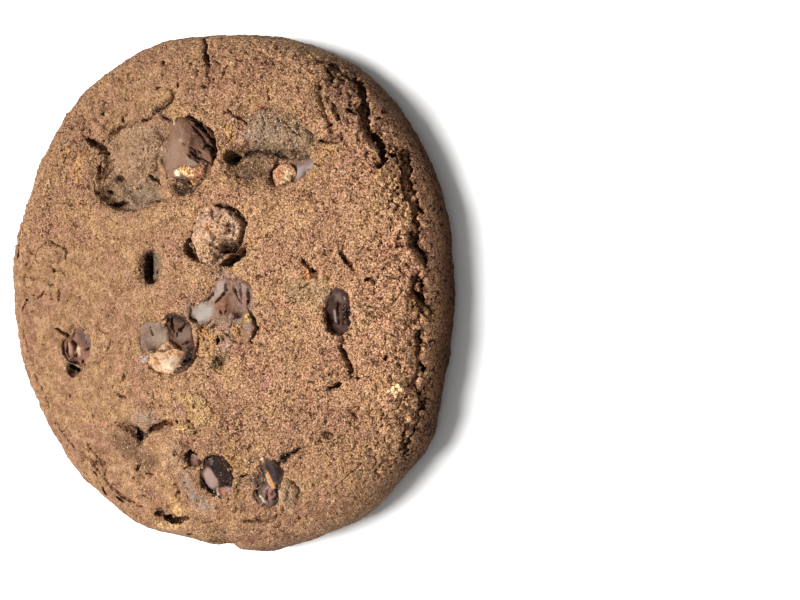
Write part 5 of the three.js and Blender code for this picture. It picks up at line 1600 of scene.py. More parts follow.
            ((214, 189, 157), 0.8, 0.2, 0.7, [(-6.3, -7.5), (-5.1, -7.0), (-4.6, -8.1), (-5.6, -8.8),
                (-6.5, -8.4)]),
            ((71, 57, 42), 0.8, 0.1, 0.35, [(-6.7, -9.1), (-5.5, -9.1), (-4.2, -8.4), (-5.4, -9.4)]),
            ((236, 164, 111), 0.7, 0.1, 0.6, [(-7.3, -10.1), (-6.0, -10.4), (-5.8, -11.4), (-7.0, -11.1)]),
            ((53, 41, 30), 0.7, 0.1, 0.3, [(-5.6, -7.5), (-5.3, -7.5), (-5.3, -8.2), (-5.6, -8.2)]),
        ],
    },
    "chip_east": {
        "outline": [(22.9, 0.5), (24.0, -0.1), (24.7, -1.4), (25.0, -2.7), (24.9, -4.4), (24.5, -6.0),
            (23.7, -6.8), (22.5, -6.5), (21.5, -5.8), (21.2, -4.2), (21.3, -2.6), (21.7, -1.2), (22.2, -0.1)],
        "facets": [((22.5, -2.8), -0.35, 0.3, 0.0), ((23.6, -3.1), -0.3, -0.12, 0.0),
            ((24.3, -3.7), -0.5, -0.7, 0.0), ((23.1, -0.5), -0.4, 0.0, 0.2)],
        "name": "eastChip", "slot": "dark_chocolate", "colour": (73, 44, 35), "tight": True, "merge": 0.1,
        "sleek": 0.9,
        "cuts": [
            (0.35, 0.35, [(22.9, -1.4), (22.8, -3.1), (22.8, -5.2)]),
            (0.35, 0.35, [(23.6, -2.3), (23.7, -4.0), (23.4, -5.5)]),
            (0.4, 0.35, [(22.4, -2.1), (23.4, -2.0), (24.2, -2.3)]),
            (0.4, 0.4, [(24.2, -2.5), (24.1, -4.6)]),
        ],
        "swells": [(0.25, 0.5, [(22.1, -2.5), (22.8, -2.3), (22.8, -5.2), (22.2, -4.6)])],
        "patches": [
            ((126, 101, 89), 0.85, 0.9, 0.8, [(22.5, -0.5), (23.4, -0.4), (23.7, -1.7), (22.7, -1.8)]),
            # painted highlight: a vertical streak of sheen
            ((177, 151, 139), 0.9, 1.0, 0.5, [(22.1, -3.0), (22.5, -2.8), (22.6, -4.7), (22.2, -4.6)]),
            ((130, 79, 64), 0.8, 0.8, 0.35, [(22.8, -2.5), (23.0, -2.5), (23.0, -5.2), (22.8, -4.9)]),
            ((90, 57, 44), 0.8, 0.8, 0.5, [(23.4, -2.3), (23.7, -2.3), (23.7, -4.9), (23.4, -5.2)]),
            # painted highlight: a small glint
            ((228, 206, 194), 0.8, 1.0, 0.25, [(23.8, -0.9), (24.0, -1.1), (24.0, -1.5)]),
            ((128, 63, 50), 0.7, 0.8, 0.3, [(22.5, -2.1), (23.4, -2.0), (24.0, -2.2), (23.3, -2.3)]),
            ((103, 77, 66), 0.8, 0.9, 0.8, [(22.5, -4.9), (23.6, -4.9), (23.6, -5.7), (22.8, -5.6)]),
            # painted shade on the chip's right side
            ((24, 15, 12), 0.9, 0.5, 0.5, [(24.0, -2.5), (24.8, -2.3), (24.8, -4.6), (24.2, -5.7), (24.0, -4.6)]),
        ],
    },
    "chip_west": {
        "outline": [(-23.1, -8.1), (-22.1, -7.4), (-21.2, -7.6), (-20.6, -6.2), (-19.6, -5.7), (-18.6, -6.0),
            (-17.8, -7.4), (-17.7, -8.8), (-18.0, -9.8), (-18.2, -10.9), (-19.3, -11.5), (-20.7, -11.4),
            (-22.3, -10.7), (-22.9, -9.5)],
        "facets": [((-20.5, -8.9), -0.1, 0.0, 0.0), ((-19.0, -7.6), 0.15, -0.25, 0.0),
            ((-21.8, -8.9), 0.0, 0.4, 0.0)],
        "name": "westChip", "slot": "milk_chocolate", "colour": (147, 103, 83), "tight": True, "merge": 0.3,
        "sleek": 0.7,
        "cuts": [
            (0.5, 0.9, [(-21.4, -7.6), (-20.8, -8.3), (-20.8, -9.3)]),
            (0.5, 0.8, [(-21.6, -10.5), (-21.1, -10.3), (-20.6, -9.8)]),
            (0.5, 0.6, [(-19.2, -9.2), (-18.1, -8.9)]),
            (0.5, 0.7, [(-19.6, -11.0)]),
            (0.35, 0.4, [(-18.8, -8.2), (-18.6, -7.6)]),
            (0.7, 0.8, [(-22.3, -8.1), (-22.5, -9.4), (-22.2, -10.3)]),
        ],
        "swells": [
            (0.35, 0.4, [(-22.0, -8.0), (-21.4, -7.8), (-21.0, -9.0), (-21.3, -10.1), (-21.9, -9.8)]),
        ],
        "patches": [
            ((179, 135, 114), 0.9, 0.7, 0.4, [(-22.0, -8.1), (-21.5, -7.9), (-21.0, -8.9), (-21.1, -9.8),
                (-21.6, -10.1), (-22.0, -9.1)]),
            ((90, 68, 59), 0.9, 0.9, 0.7, [(-20.4, -6.4), (-19.6, -6.3), (-18.8, -6.7), (-18.2, -7.6),
                (-18.0, -8.5), (-19.0, -8.9), (-19.6, -8.2), (-20.0, -7.5)]),
            ((132, 77, 55), 0.8, 0.7, 0.7, [(-19.8, -7.6), (-19.0, -7.8), (-18.9, -8.7), (-19.6, -8.5)]),
            ((141, 125, 119), 0.8, 1.0, 0.4, [(-18.8, -6.8), (-18.5, -7.1), (-18.4, -8.2), (-18.8, -7.9)]),
            ((233, 196, 152), 0.9, 0.3, 0.4, [(-20.4, -8.5), (-19.7, -8.9), (-20.0, -9.7), (-20.0, -10.3),
                (-20.6, -10.0), (-20.5, -9.2)]),
            ((147, 103, 86), 0.8, 0.6, 0.6, [(-19.8, -9.6), (-18.5, -9.7), (-18.5, -10.9), (-19.3, -11.2)]),
            ((141, 92, 72), 0.8, 0.5, 0.6, [(-20.9, -10.3), (-19.8, -10.4), (-19.7, -11.1), (-20.8, -11.1)]),
            ((32, 19, 13), 0.9, 0.2, 0.3, [(-19.8, -10.7), (-19.3, -10.7), (-19.4, -11.3), (-19.8, -11.3)]),
            ((66, 42, 30), 0.7, 0.3, 0.5, [(-19.1, -9.0), (-18.0, -8.8), (-18.1, -9.2), (-19.1, -9.4)]),
        ],
    },
    "chip_south": {
        "outline": [(2.8, -24.9), (4.3, -25.0), (5.5, -26.0), (5.9, -27.3), (6.0, -28.7), (6.1, -29.7),
            (5.9, -30.8), (4.0, -31.6), (2.8, -31.5), (1.8, -31.0), (0.9, -30.2), (0.5, -28.8), (0.6, -27.4),
            (1.6, -25.9)],
        "facets": [((2.1, -28.6), -0.05, 0.14, 0.06), ((4.1, -27.2), 0.0, -0.1, 0.1),
            ((5.3, -27.8), 0.0, -0.5, 0.0), ((4.3, -30.4), -0.1, 0.0, 0.1)],
        "name": "southChip", "slot": "dark_chocolate", "colour": (60, 38, 29), "tight": True, "merge": 0.15,
        "sleek": 0.95,
        "cuts": [
            (0.35, 0.3, [(4.5, -29.4), (5.2, -29.3), (5.8, -29.5)]),
            (0.6, 0.7, [(0.6, -28.0), (1.0, -29.2), (1.6, -30.2), (2.9, -30.9)]),
            (1.1, 1.6, [(6.2, -27.5), (6.3, -28.2)]),
        ],
        "swells": [
            (-0.25, 0.5, [(0.8, -26.8), (2.3, -26.4), (3.6, -28.6), (3.3, -30.0), (1.8, -30.6), (0.7, -29.2)]),
            (-0.35, 0.4, [(3.3, -29.7), (5.8, -29.3), (5.7, -30.8), (3.9, -31.4)]),
        ],
        "patches": [
            ((181, 151, 136), 0.9, 0.9, 0.9, [(1.0, -27.5), (1.8, -26.7), (2.5, -27.0), (3.5, -28.4),
                (3.4, -29.5), (2.1, -30.2), (1.2, -29.6)]),
            ((36, 18, 10), 0.95, 0.75, 0.5, [(2.6, -25.2), (4.8, -25.6), (5.8, -27.2), (5.5, -29.0), (4.4, -29.4),
                (3.7, -28.6), (2.7, -27.1)]),
            ((58, 36, 27), 0.55, 0.8, 1.2, [(3.5, -27.3), (4.8, -27.4), (5.0, -28.7), (3.9, -28.8)]),
            ((126, 104, 88), 0.7, 1.0, 0.4, [(2.4, -25.3), (2.9, -25.1), (3.0, -26.1), (2.7, -26.2)]),
            ((187, 130, 105), 0.9, 0.6, 0.6, [(3.4, -30.0), (4.6, -29.6), (5.0, -30.1), (4.2, -31.2),
                (3.2, -31.1)]),
            ((181, 143, 145), 0.85, 0.8, 0.6, [(4.6, -29.6), (5.8, -29.8), (5.8, -30.5), (4.9, -30.7)]),
            ((250, 224, 196), 0.7, 0.5, 0.35, [(3.1, -29.9), (3.4, -29.9), (3.4, -31.1), (3.1, -31.0)]),
            ((64, 42, 32), 0.8, 0.5, 0.6, [(0.5, -27.9), (1.0, -28.0), (1.7, -29.6), (3.1, -30.5), (2.7, -31.3),
                (1.3, -30.4), (0.5, -29.2)]),
        ],
    },
    "chip_southeast": {
        "outline": [(8.3, -24.8), (9.8, -24.5), (11.3, -24.8), (12.9, -25.1), (14.1, -26.6), (14.1, -28.5),
            (13.6, -30.7), (11.8, -32.4), (10.2, -31.8), (9.3, -30.5), (9.2, -28.3), (8.5, -26.5)],
        "facets": [((10.9, -28.2), 0.0, 0.1, 0.03), ((12.7, -27.2), 0.35, -0.3, 0.05),
            ((11.7, -30.6), 0.0, 0.0, 0.15), ((9.9, -26.7), -0.1, 0.15, 0.0)],
        "name": "brokenChip", "slot": "dark_chocolate", "colour": (110, 86, 73), "tight": True, "merge": 0.3,
        "sleek": 0.6,
        "cuts": [
            (0.6, 0.8, [(10.7, -26.6), (11.0, -26.9)]),
            (0.5, 0.8, [(11.2, -27.3), (11.3, -27.9)]),
            (0.6, 0.6, [(10.6, -28.8), (11.5, -28.7)]),
            (0.8, 1.0, [(9.8, -29.9), (10.0, -30.6)]),
            (0.5, 0.8, [(13.5, -28.8), (13.1, -30.7)]),
            (0.5, 0.7, [(12.3, -31.2), (12.8, -31.1)]),
            (0.5, 0.5, [(11.8, -29.5), (11.4, -30.8), (11.7, -31.7)]),
            (0.4, 0.4, [(12.9, -29.5), (12.4, -30.3), (13.0, -30.4)]),
        ],
        "swells": [
            (0.4, 0.7, [(11.7, -25.3), (12.8, -25.4), (13.8, -26.7), (13.7, -28.7), (12.8, -28.1), (12.1, -26.6)]),
            (-0.3, 0.6, [(10.0, -26.1), (11.5, -26.1), (11.5, -29.4), (9.9, -29.4)]),
        ],
        "patches": [
            ((88, 68, 58), 0.8, 0.5, 0.9, [(8.9, -25.2), (11.0, -25.2), (11.6, -27.3), (11.5, -29.4),
                (9.9, -29.4), (9.3, -27.3)]),
            ((45, 31, 27), 0.9, 0.95, 0.6, [(11.7, -25.5), (12.6, -25.6), (13.7, -26.7), (13.7, -28.7),
                (12.8, -28.0), (12.2, -26.8), (11.6, -26.4)]),
            # painted highlight: a greyish sheen along the dome's outer edge
            ((84, 73, 76), 0.8, 1.0, 0.8, [(12.6, -25.9), (13.1, -25.9), (13.8, -26.9), (13.7, -28.2),
                (13.2, -27.5), (12.9, -26.5)]),
            ((224, 150, 88), 0.95, 0.7, 0.4, [(11.7, -27.0), (12.1, -26.9), (12.7, -28.1), (13.2, -29.2),
                (12.9, -29.5), (12.3, -28.6)]),
            ((254, 222, 178), 0.8, 0.5, 0.25, [(11.6, -27.3), (11.8, -27.2), (12.2, -28.5), (12.8, -29.3),
                (12.6, -29.4), (11.9, -28.4)]),
            ((164, 119, 109), 0.9, 0.6, 0.6, [(11.0, -29.4), (12.1, -29.0), (13.2, -29.9), (12.6, -30.9),
                (11.6, -31.8), (11.0, -30.9)]),
            ((250, 226, 196), 0.85, 0.3, 0.3, [(10.2, -30.5), (10.6, -30.6), (11.3, -31.8), (10.8, -31.7)]),
            ((24, 16, 12), 0.9, 0.2, 0.4, [(9.6, -29.8), (10.3, -29.7), (10.1, -30.7), (9.7, -30.7)]),
            ((252, 224, 168), 0.9, 0.3, 0.35, [(10.9, -24.8), (11.4, -24.8), (11.3, -25.2), (10.9, -25.2)]),
            # painted shade along the dome's right edge
            ((30, 20, 15), 0.8, 0.2, 0.4, [(13.2, -28.7), (13.7, -28.7), (13.4, -30.7), (12.7, -31.3),
                (12.3, -31.2), (13.0, -30.4)]),
        ],
    },
    "chip_small": {
        "outline": [(-1.2, -25.8), (-0.6, -25.1), (0.5, -25.2), (0.8, -26.0), (0.2, -26.7), (-0.9, -26.8)],
        "facets": [((-0.2, -25.9), -0.5, 0.1, 0.1)],
        "name": "smallChip", "slot": "dark_chocolate", "colour": (150, 110, 94), "tight": True, "merge": 0.5,
        "sleek": 0.6,
        "cuts": [],
        "swells": [],
        "patches": [
            ((196, 158, 142), 0.7, 0.7, 0.5, [(-0.7, -25.6), (-0.1, -25.4), (-0.2, -26.2), (-0.7, -26.2)]),
        ],
    },
    "crumb_ball": {
        "outline": [(12.6, 17.0), (12.9, 17.9), (13.7, 18.4), (14.7, 18.3), (15.5, 17.6), (15.6, 16.6),
            (15.1, 15.7), (14.1, 15.5), (13.1, 15.9)],
        "facets": [((14.1, 16.9), 0.75, 0.0, 0.0)],
        "name": "crumbBall", "slot": "golden_crumb", "colour": (210, 160, 120), "merge": 0.2, "sleek": 0.1,
        "cuts": [
            (0.3, 0.3, [(13.9, 16.1)]),
            (0.3, 0.25, [(13.4, 17.7), (13.6, 16.7)]),
        ],
        "swells": [],
        "patches": [
            ((228, 150, 108), 0.9, 0.1, 0.6, [(12.8, 17.9), (13.7, 18.0), (13.9, 15.9), (13.0, 16.1)]),
            ((250, 218, 168), 0.9, 0.2, 0.6, [(14.2, 18.0), (15.1, 17.5), (15.2, 16.2), (14.2, 15.8),
                (14.1, 16.9)]),
        ],
    },
}

# the smears on the base keep the form of their CAD node
baseSmears = {
    "base_melt_a": ("baseSmearOne", (92, 66, 54), 0.7),
    "base_melt_b": ("baseSmearTwo", (150, 122, 108), 0.7),
    "base_melt_c": ("baseSmearThree", (84, 60, 50), 0.8),
}
for node, (name, colour, sleek) in baseSmears.items():
    chips[node] = {"name": name, "slot": "dark_chocolate", "colour": colour, "swell": 0.2, "sleek": sleek,
                   "cuts": [], "swells": [], "patches": []}


doughParts, crust = buildDough()
doughFinish = doughMaterial()
for part in doughParts:
    part.data.materials.append(doughFinish)
print("dough ready")


chipLook = {
    "cloud": (1.2, 3.0, 0.6),
    "cloudLimits": (0.35, 0.65),
    "cloudShare": 0.5,
    "darker": 0.84,
    "hollow": (0.10, 0.40),
    "hollowShare": 0.85,
    "scratch": (0.5, 4.0, 0.7),
    "scratchHeight": 0.25,
    "scratchRoughness": 0.24,
    "bump": (0.14, 0.9),
    "roughness": (0.88, 0.34),
}


def chipMaterial(name, colour):
    # chocolate where it is smooth, crumb where it is not
    ink = Ink(name)
    look = chipLook
    sleek = ink.attribute("sleek")
    cloud = ink.band(ink.noise(*look["cloud"]), *look["cloudLimits"])
    body = ink.mix(cloud * look["cloudShare"], tone(*colour), tone(*[v * look["darker"] for v in colour]))
    body = ink.mix(ink.attribute("tint", "Alpha"), body, ink.attribute("tint", "Color"))
    body, height = crumbLook(ink, body, sleek)
    # painted shade in the chip's creases and hollows
    hollow = ink.band(ink.attribute("fine"), *look["hollow"]) * look["hollowShare"]
    body = ink.mix(hollow, body, doughColours["deep"])
    scratches = ink.noise(*look["scratch"])
    normal = ink.bump(height + scratches * look["scratchHeight"], *look["bump"])
    highest, drop = look["roughness"]
    return ink.finish(body, highest - sleek * drop + (scratches - 0.5) * look["scratchRoughness"], normal)


# how the height of the dough beside an outline is taken
nearby = {"every": 2, "outwards": 0.9, "within": 0.6, "part": 65, "nearest": 0.05}


def surroundings(outline, flat):
    # the height of the dough just outside an outline, spread evenly across the inside
    outline = rounded(outline)
    middle = outline.mean(0)
    total, weights = np.zeros(len(flat)), np.zeros(len(flat))
    for spot in outline[::nearby["every"]]:
        way = (spot - middle) / np.linalg.norm(spot - middle)
        away = crust[:, :2] - spot - way * nearby["outwards"]
        near = crust[np.hypot(*away.T) < nearby["within"]]
        if len(near):
            weight = 1 / (((flat - spot) ** 2).sum(1) + nearby["nearest"])
            total += weight * np.percentile(near[:, 2], nearby["part"])
            weights += weight
    return total / weights


def rounded(outline):
    # cuts the corners of an outline a quarter of the way along each side
    points, near, far = np.array(outline), 0.75, 0.25
    ahead = np.roll(points, -1, axis=0)
    return np.stack([points * near + ahead * far, points * far + ahead * near], 1).reshape(-1, 2)


def grown(outline, reach):
    # pushes an outline outwards
    ahead, behind = np.roll(outline, -1, axis=0), np.roll(outline, 1, axis=0)
    along = (ahead - behind) / np.linalg.norm(ahead - behind, axis=1)[:, None]
    turn = np.sign(((ahead[:, 0] - outline[:, 0]) * (ahead[:, 1] + outline[:, 1])).sum())
    return outline + reach * turn * np.stack([-along[:, 1], along[:, 0]], 1)


def outlineBlock(name, outline, bottom, top):
    # a closed block that stands on an outline
    bpy.ops.mesh.primitive_circle_add(vertices=len(outline), fill_type="NGON")
    piece = bpy.context.active_object
    piece.name = name
    for vertex, (x, y) in zip(piece.data.vertices, outline):
        vertex.co = (x * mm, y * mm, bottom * mm)
    bpy.ops.object.mode_set(mode="EDIT")
    bpy.ops.mesh.select_all(action="SELECT")
    bpy.ops.mesh.extrude_region_move(TRANSFORM_OT_translate={"value": (0, 0, (top - bottom) * mm)})
    bpy.ops.mesh.select_all(action="SELECT")
    bpy.ops.mesh.normals_make_consistent(inside=False)
    bpy.ops.object.mode_set(mode="OBJECT")
    return piece


# how a chip is set into the dough, what clings to it, and the relief of its own surface
chipShape = {
    "voxel": 0.1,
    "grow": 0.5,
    "roundsCut": 4,
    "roundsBase": 25,
    "torn": {"brim": 0.10, "cuts": 0.07},
    "headroom": 3,
    "brim": (0.14, 0.8, (0.0, -0.5)),
    "brimIn": (-0.1, 0.6),
    "belowBox": 0.3,
    "baseLift": 0.03,
    "triangles": 60000,
}

cling = {"sizes": (0.9, 0.4), "seeds": (68, 69), "reach": (0.55, 0.0), "where": (0.7, 1.0)}

# rise, size and seed of the lumps: everywhere, and only where the chip is rough
chipRelief = {
    "everywhere": [(0.08, 1.5, 61), (0.04, 0.5, 64)],
    "rough": [(0.16, 0.9, 62), (0.16, 0.5, 63)],
    "pits": (0.16, 0.6, 67, (0.35, 0.65)),
    "push": (0.06, 0.5, (65, 66)),
    "facing": (-0.1, 0.3),
    "crackShade": (24, 15, 11),
}


def shapeTop(surface, recipe, bottom, top):
    # the flat top takes the height of its surroundings, less what the facets cut away, and dives under the dough
    # outside its outline
    flat = surface.points[:, :2]
    around = surroundings(recipe["outline"], flat)
    height = around + recipe["facets"][0][1] + chipShape["headroom"]
    for (x, y), rise, leanX, leanY in recipe["facets"]:
        height = np.minimum(height, around + rise + leanX * (flat[:, 0] - x) + leanY * (flat[:, 1] - y))
    inside = -toWay(surface.ragged(chipShape["torn"]["brim"]), recipe["outline"], True)
    below, dive, outside = chipShape["brim"]
    brim = np.minimum(around - below - dive * ease(inside, *outside), height)
    height = brim + (height - brim) * np.sqrt(ease(inside, *chipShape["brimIn"]))
    height = np.minimum(height, cadBox[1][2] / mm - chipShape["belowBox"])
    share = (surface.points[:, 2] - bottom) / (top - bottom)
    surface.points[:, 2] = bottom + share * (height - bottom)


def clinging(surface, recipe):
    # 1 where dough crumb clings to the edge of a chip
    spread = brokenField(surface.points, cling["sizes"], cling["seeds"])
    inside = -toWay(surface.points[:, :2], recipe["outline"], True)
    low, high = cling["where"]
    return ease(inside, *cling["reach"]) * ease(spread, low - recipe["merge"], high - recipe["merge"])


def layered(points, layers):
    # several fields of lumps on top of each other
    return sum(rise * noiseField(points, size, seed) for rise, size, seed in layers)


def buildChip(node, recipe):
    low, high = (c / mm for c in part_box(node))
    isCut = "outline" in recipe
    if isCut:
        outline = grown(rounded(recipe["outline"]), chipShape["grow"])
        piece = outlineBlock(recipe["name"], outline, low[2], high[2])
    else:
        piece = mergedCopy(node, recipe["name"])
    applyModifier(piece, "REMESH", mode="VOXEL", voxel_size=chipShape["voxel"] * mm)
    surface = Surface(piece)
    if isCut:
        shapeTop(surface, recipe, low[2], high[2])
        surface.points = surface.blur(surface.points, chipShape["roundsCut"])
    else:
        surface.points = surface.blur(surface.points, chipShape["roundsBase"])
        surface.points += surface.normals() * recipe["swell"]
    points = surface.points.copy()
    push, size, seeds = chipRelief["push"]
    flat = points[:, :2] + push * shift(points, size, seeds)
    everywhere = (recipe["colour"], 0.0, recipe["sleek"], 1.0, [(-60, -60), (60, -60), (60, 60), (-60, 60)])
    rim = clinging(surface, recipe) if "merge" in recipe else None
    rough = 1 - surface.paint(flat, [everywhere] + recipe["patches"], np.ones(len(flat)), recipe["cuts"],
                              chipRelief["crackShade"], rim)
    facing = ease(surface.normals()[:, 2], *chipRelief["facing"])
    surface.carve(recipe["cuts"], recipe["swells"], facing, surface.ragged(chipShape["torn"]["cuts"]))
    normals = surface.normals()
    depth, size, seed, limits = chipRelief["pits"]
    lift = layered(points, chipRelief["everywhere"]) + rough * layered(points, chipRelief["rough"])
    lift -= rough * depth * ease(noiseField(points, size, seed), *limits)
    surface.points += normals * lift[:, None]
    if not isCut:
        surface.points[:, 2] = np.maximum(surface.points[:, 2], chipShape["baseLift"])
    surface.keepInside()
    surface.markHollow()
    surface.save()
    count = len(piece.data.polygons) * 2
    thinOut(piece, count, chipShape["triangles"])
    selectOnly(piece)
    bpy.ops.object.shade_smooth()
    piece.data.materials.append(chipMaterial(recipe["name"] + "Finish", recipe["colour"]))
    settle(piece, node, recipe["slot"])
    print(recipe["name"], count)
    return piece


chipPieces = {node: buildChip(node, recipe) for node, recipe in chips.items()}
print("chips ready")


# loose grains and crumbs, one mesh for each kind: radius range, how far each sinks in, two colours, and the share
# that stays on the smooth side
grains = {
    "sandGrains": {"count": 9400, "sizes": (0.09, 0.20), "seed": 3, "sink": 0.25, "colour": (206, 160, 120),
                   "other": (160, 116, 86), "side": 0.35},
    "paleGrains": {"count": 4200, "sizes": (0.09, 0.16), "seed": 7, "sink": 0.2, "colour": (240, 198, 162),
                   "other": (216, 164, 124), "side": 0.2},
}

# centre, size in millimetres and colour of the larger crumbs
crumbs = [
    ((-1.6, 18.5), 0.5, (236, 186, 128)), ((-0.6, 18.1), 0.5, (226, 168, 108)), ((1.6, 18.8), 0.5, (206, 158, 122)),
    ((-0.8, 16.3), 0.5, (232, 182, 124)), ((0.8, 16.9), 0.4, (196, 148, 112)), ((-3.4, 25.7), 0.42, (244, 216, 178)),
    ((-11.6, 16.3), 0.40, (232, 190, 130)), ((-12.3, 18.4), 0.3, (214, 184, 150)),
    ((-9.2, 25.8), 0.42, (226, 172, 112)), ((-2.4, 23.1), 0.28, (214, 176, 140)),
    ((-22.4, 22.1), 0.60, (226, 176, 122)), ((-19.9, 21.4), 0.55, (222, 160, 106)),
    ((-20.5, 20.2), 0.6, (230, 176, 116)), ((-21.2, 18.8), 0.5, (224, 160, 108)),
    ((-20.2, 17.4), 0.55, (228, 176, 122)), ((-20.7, 16.1), 0.4, (214, 160, 112)),
    ((-26.1, 17.2), 0.42, (246, 210, 166)), ((-26.8, 13.4), 0.38, (240, 202, 158)),
    ((-23.2, 23.9), 0.26, (250, 236, 214)), ((5.4, 24.6), 0.5, (228, 180, 112)), ((5.8, 23.8), 0.45, (232, 188, 124)),
    ((5.5, 23.0), 0.5, (222, 170, 106)), ((10.2, 27.4), 0.40, (226, 150, 98)), ((4.9, 22.2), 0.4, (196, 140, 100)),
    ((31.1, -14.3), 0.75, (300, 264, 206)), ((31.6, -14.7), 0.7, (296, 256, 196)),
    ((31.3, -15.0), 0.5, (270, 226, 170)), ((-1.9, -16.1), 0.45, (236, 190, 124)),
    ((-0.6, -16.1), 0.42, (240, 200, 138)), ((0.9, -16.0), 0.5, (228, 176, 112)),
    ((2.1, -16.7), 0.42, (236, 192, 128)), ((2.8, -17.8), 0.45, (232, 184, 120)),
    ((1.9, -18.6), 0.42, (240, 200, 140)), ((0.9, -19.3), 0.5, (236, 190, 126)),
    ((-0.2, -19.7), 0.42, (226, 176, 116)), ((-1.3, -20.4), 0.45, (236, 196, 136)),
    ((-2.4, -20.8), 0.42, (230, 184, 122)), ((-1.0, -17.1), 0.35, (214, 160, 104)),
    ((-0.1, -18.4), 0.35, (206, 156, 104)), ((-8.1, -36.0), 0.35, (238, 196, 138)),
    ((-7.0, -36.3), 0.42, (232, 184, 124)), ((-5.7, -36.4), 0.4, (240, 202, 148)),
    ((-4.4, -36.3), 0.45, (230, 180, 122)), ((-3.1, -36.1), 0.35, (238, 200, 146)),
    ((-4.8, -33.1), 0.35, (224, 172, 112)), ((-3.9, -33.8), 0.4, (228, 178, 116)),
    ((-3.2, -34.3), 0.32, (236, 196, 136)), ((-8.5, -34.2), 0.4, (222, 172, 118)), ((1.3, -6.0), 0.5, (216, 160, 92)),
    ((2.2, -6.5), 0.45, (226, 176, 108)), ((3.1, -6.8), 0.45, (222, 172, 104)), ((1.3, -7.6), 0.45, (230, 184, 116)),
    ((3.2, -7.9), 0.42, (214, 160, 96)), ((1.4, -9.0), 0.5, (224, 176, 110)), ((2.5, -9.6), 0.4, (232, 190, 126)),
    ((3.5, -8.6), 0.35, (206, 152, 92)), ((8.8, -3.9), 0.5, (236, 200, 128)), ((9.2, -4.3), 0.38, (246, 218, 150)),
    ((9.8, -7.2), 0.35, (240, 206, 160)), ((7.1, -6.0), 0.42, (222, 176, 124)), ((7.7, -6.6), 0.4, (212, 162, 114)),
    ((6.8, -5.1), 0.35, (196, 150, 110)), ((7.6, -7.3), 0.35, (226, 178, 118)), ((3.6, 3.4), 0.35, (226, 186, 150)),
    ((4.5, 2.8), 0.4, (150, 110, 90)), ((5.1, 3.6), 0.32, (214, 172, 140)), ((3.2, 2.5), 0.3, (90, 60, 46)),
    ((4.1, 2.1), 0.3, (236, 200, 164)), ((2.7, 3.1), 0.28, (196, 150, 118)), ((8.8, -24.7), 0.35, (214, 160, 110)),
    ((11.2, -25.0), 0.42, (250, 222, 178)), ((10.4, -25.3), 0.4, (206, 156, 110)),
    ((10.5, -26.4), 0.4, (176, 130, 96)), ((10.9, -28.2), 0.4, (196, 150, 108)), ((6.3, -25.8), 0.4, (206, 162, 104)),
    ((7.1, -26.2), 0.35, (184, 140, 92)), ((7.6, -25.4), 0.35, (214, 172, 116)),
    ((0.9, -26.8), 0.32, (196, 150, 116)), ((3.0, -31.3), 0.35, (240, 206, 164)),
    ((-15.7, -20.5), 0.4, (232, 160, 108)), ((18.2, 2.3), 0.38, (232, 156, 100)), ((18.8, 1.8), 0.35, (226, 148, 96)),
    ((20.4, 3.7), 0.3, (224, 150, 100)), ((22.4, 3.0), 0.28, (240, 204, 160)), ((20.4, 23.6), 0.4, (226, 176, 116)),
    ((21.4, 21.0), 0.4, (236, 190, 126)), ((22.2, 20.3), 0.35, (226, 180, 118)),
    ((20.1, 19.3), 0.35, (232, 186, 122)), ((19.5, 17.7), 0.3, (222, 170, 112)), ((1.8, 21.5), 0.35, (110, 74, 56)),
    ((2.6, 17.3), 0.4, (196, 150, 114)), ((14.2, 15.3), 0.3, (206, 160, 122)),
]


# where grains lie: on faces that look up, more on the coarse side, in clumps, and not in hollows
scatter = {
    "facing": (0.1, 0.7),
    "side": (-26, 16),
    "clumpSize": 2.6,
    "clumps": (0.25, (-0.2, 0.5)),
    "hollow": (1.6, 0.8),
    "black": 90,
    "deepCrack": 1,
    "sleekChip": 0.5,
    "chipEdge": 0.2,
}


def scatterPlaces(parts, count, seed, side):
    # random points, none in black patches, in deep cracks or on smooth chips; also the normals there
    random = np.random.default_rng(seed)
    corners = []
    for part in parts:
        mesh = part.data
        mesh.calc_loop_triangles()
        ids = readAll(mesh.loop_triangles, "vertices", 3, np.int64)
        corners.append(readAll(mesh.vertices, "co")[ids] / mm)
    corners = np.concatenate(corners)
    first, second, third = corners.transpose(1, 0, 2)
    across = np.cross(second - first, third - first)
    area = np.linalg.norm(across, axis=1)
    facing = across / np.maximum(area, 1e-9)[:, None]
    middle = corners.mean(1)
    flat = middle[:, :2]
    least, limits = scatter["clumps"]
    weight = area * ease(facing[:, 2], *scatter["facing"])
    weight = weight * (side + (1 - side) * ease(middle[:, 0], *scatter["side"]))
    clumped = least + ease(noiseField(middle, scatter["clumpSize"], seed), *limits)
    weight *= clumped * ease(hollowness(middle), *scatter["hollow"])
    for colour, *_, soft, outline in doughPatches:
        if sum(colour) < scatter["black"]:
            weight *= 1 - patchMask(flat, outline, soft)
    for width, depth, way in rimCracks + doughCracks:
        if depth > scatter["deepCrack"]:
            weight *= 1 - lineMask(flat, way, width)
    for recipe in chips.values():
        if recipe["sleek"] > scatter["sleekChip"] and "outline" in recipe:
            weight *= 1 - patchMask(flat, recipe["outline"], scatter["chipEdge"])
    chosen = random.choice(len(weight), count, p=weight / weight.sum())
    u, v = random.random((2, count))
    u, v = np.where(u + v > 1, 1 - u, u), np.where(u + v > 1, 1 - v, v)
    first, second, third = first[chosen], second[chosen], third[chosen]
    place = first + u[:, None] * (second - first) + v[:, None] * (third - first)
    return place, facing[chosen], random


# how uneven the little lumps are
lumpForm = {"stretch": (0.65, 1.25), "wobble": (0.75, 1.2)}


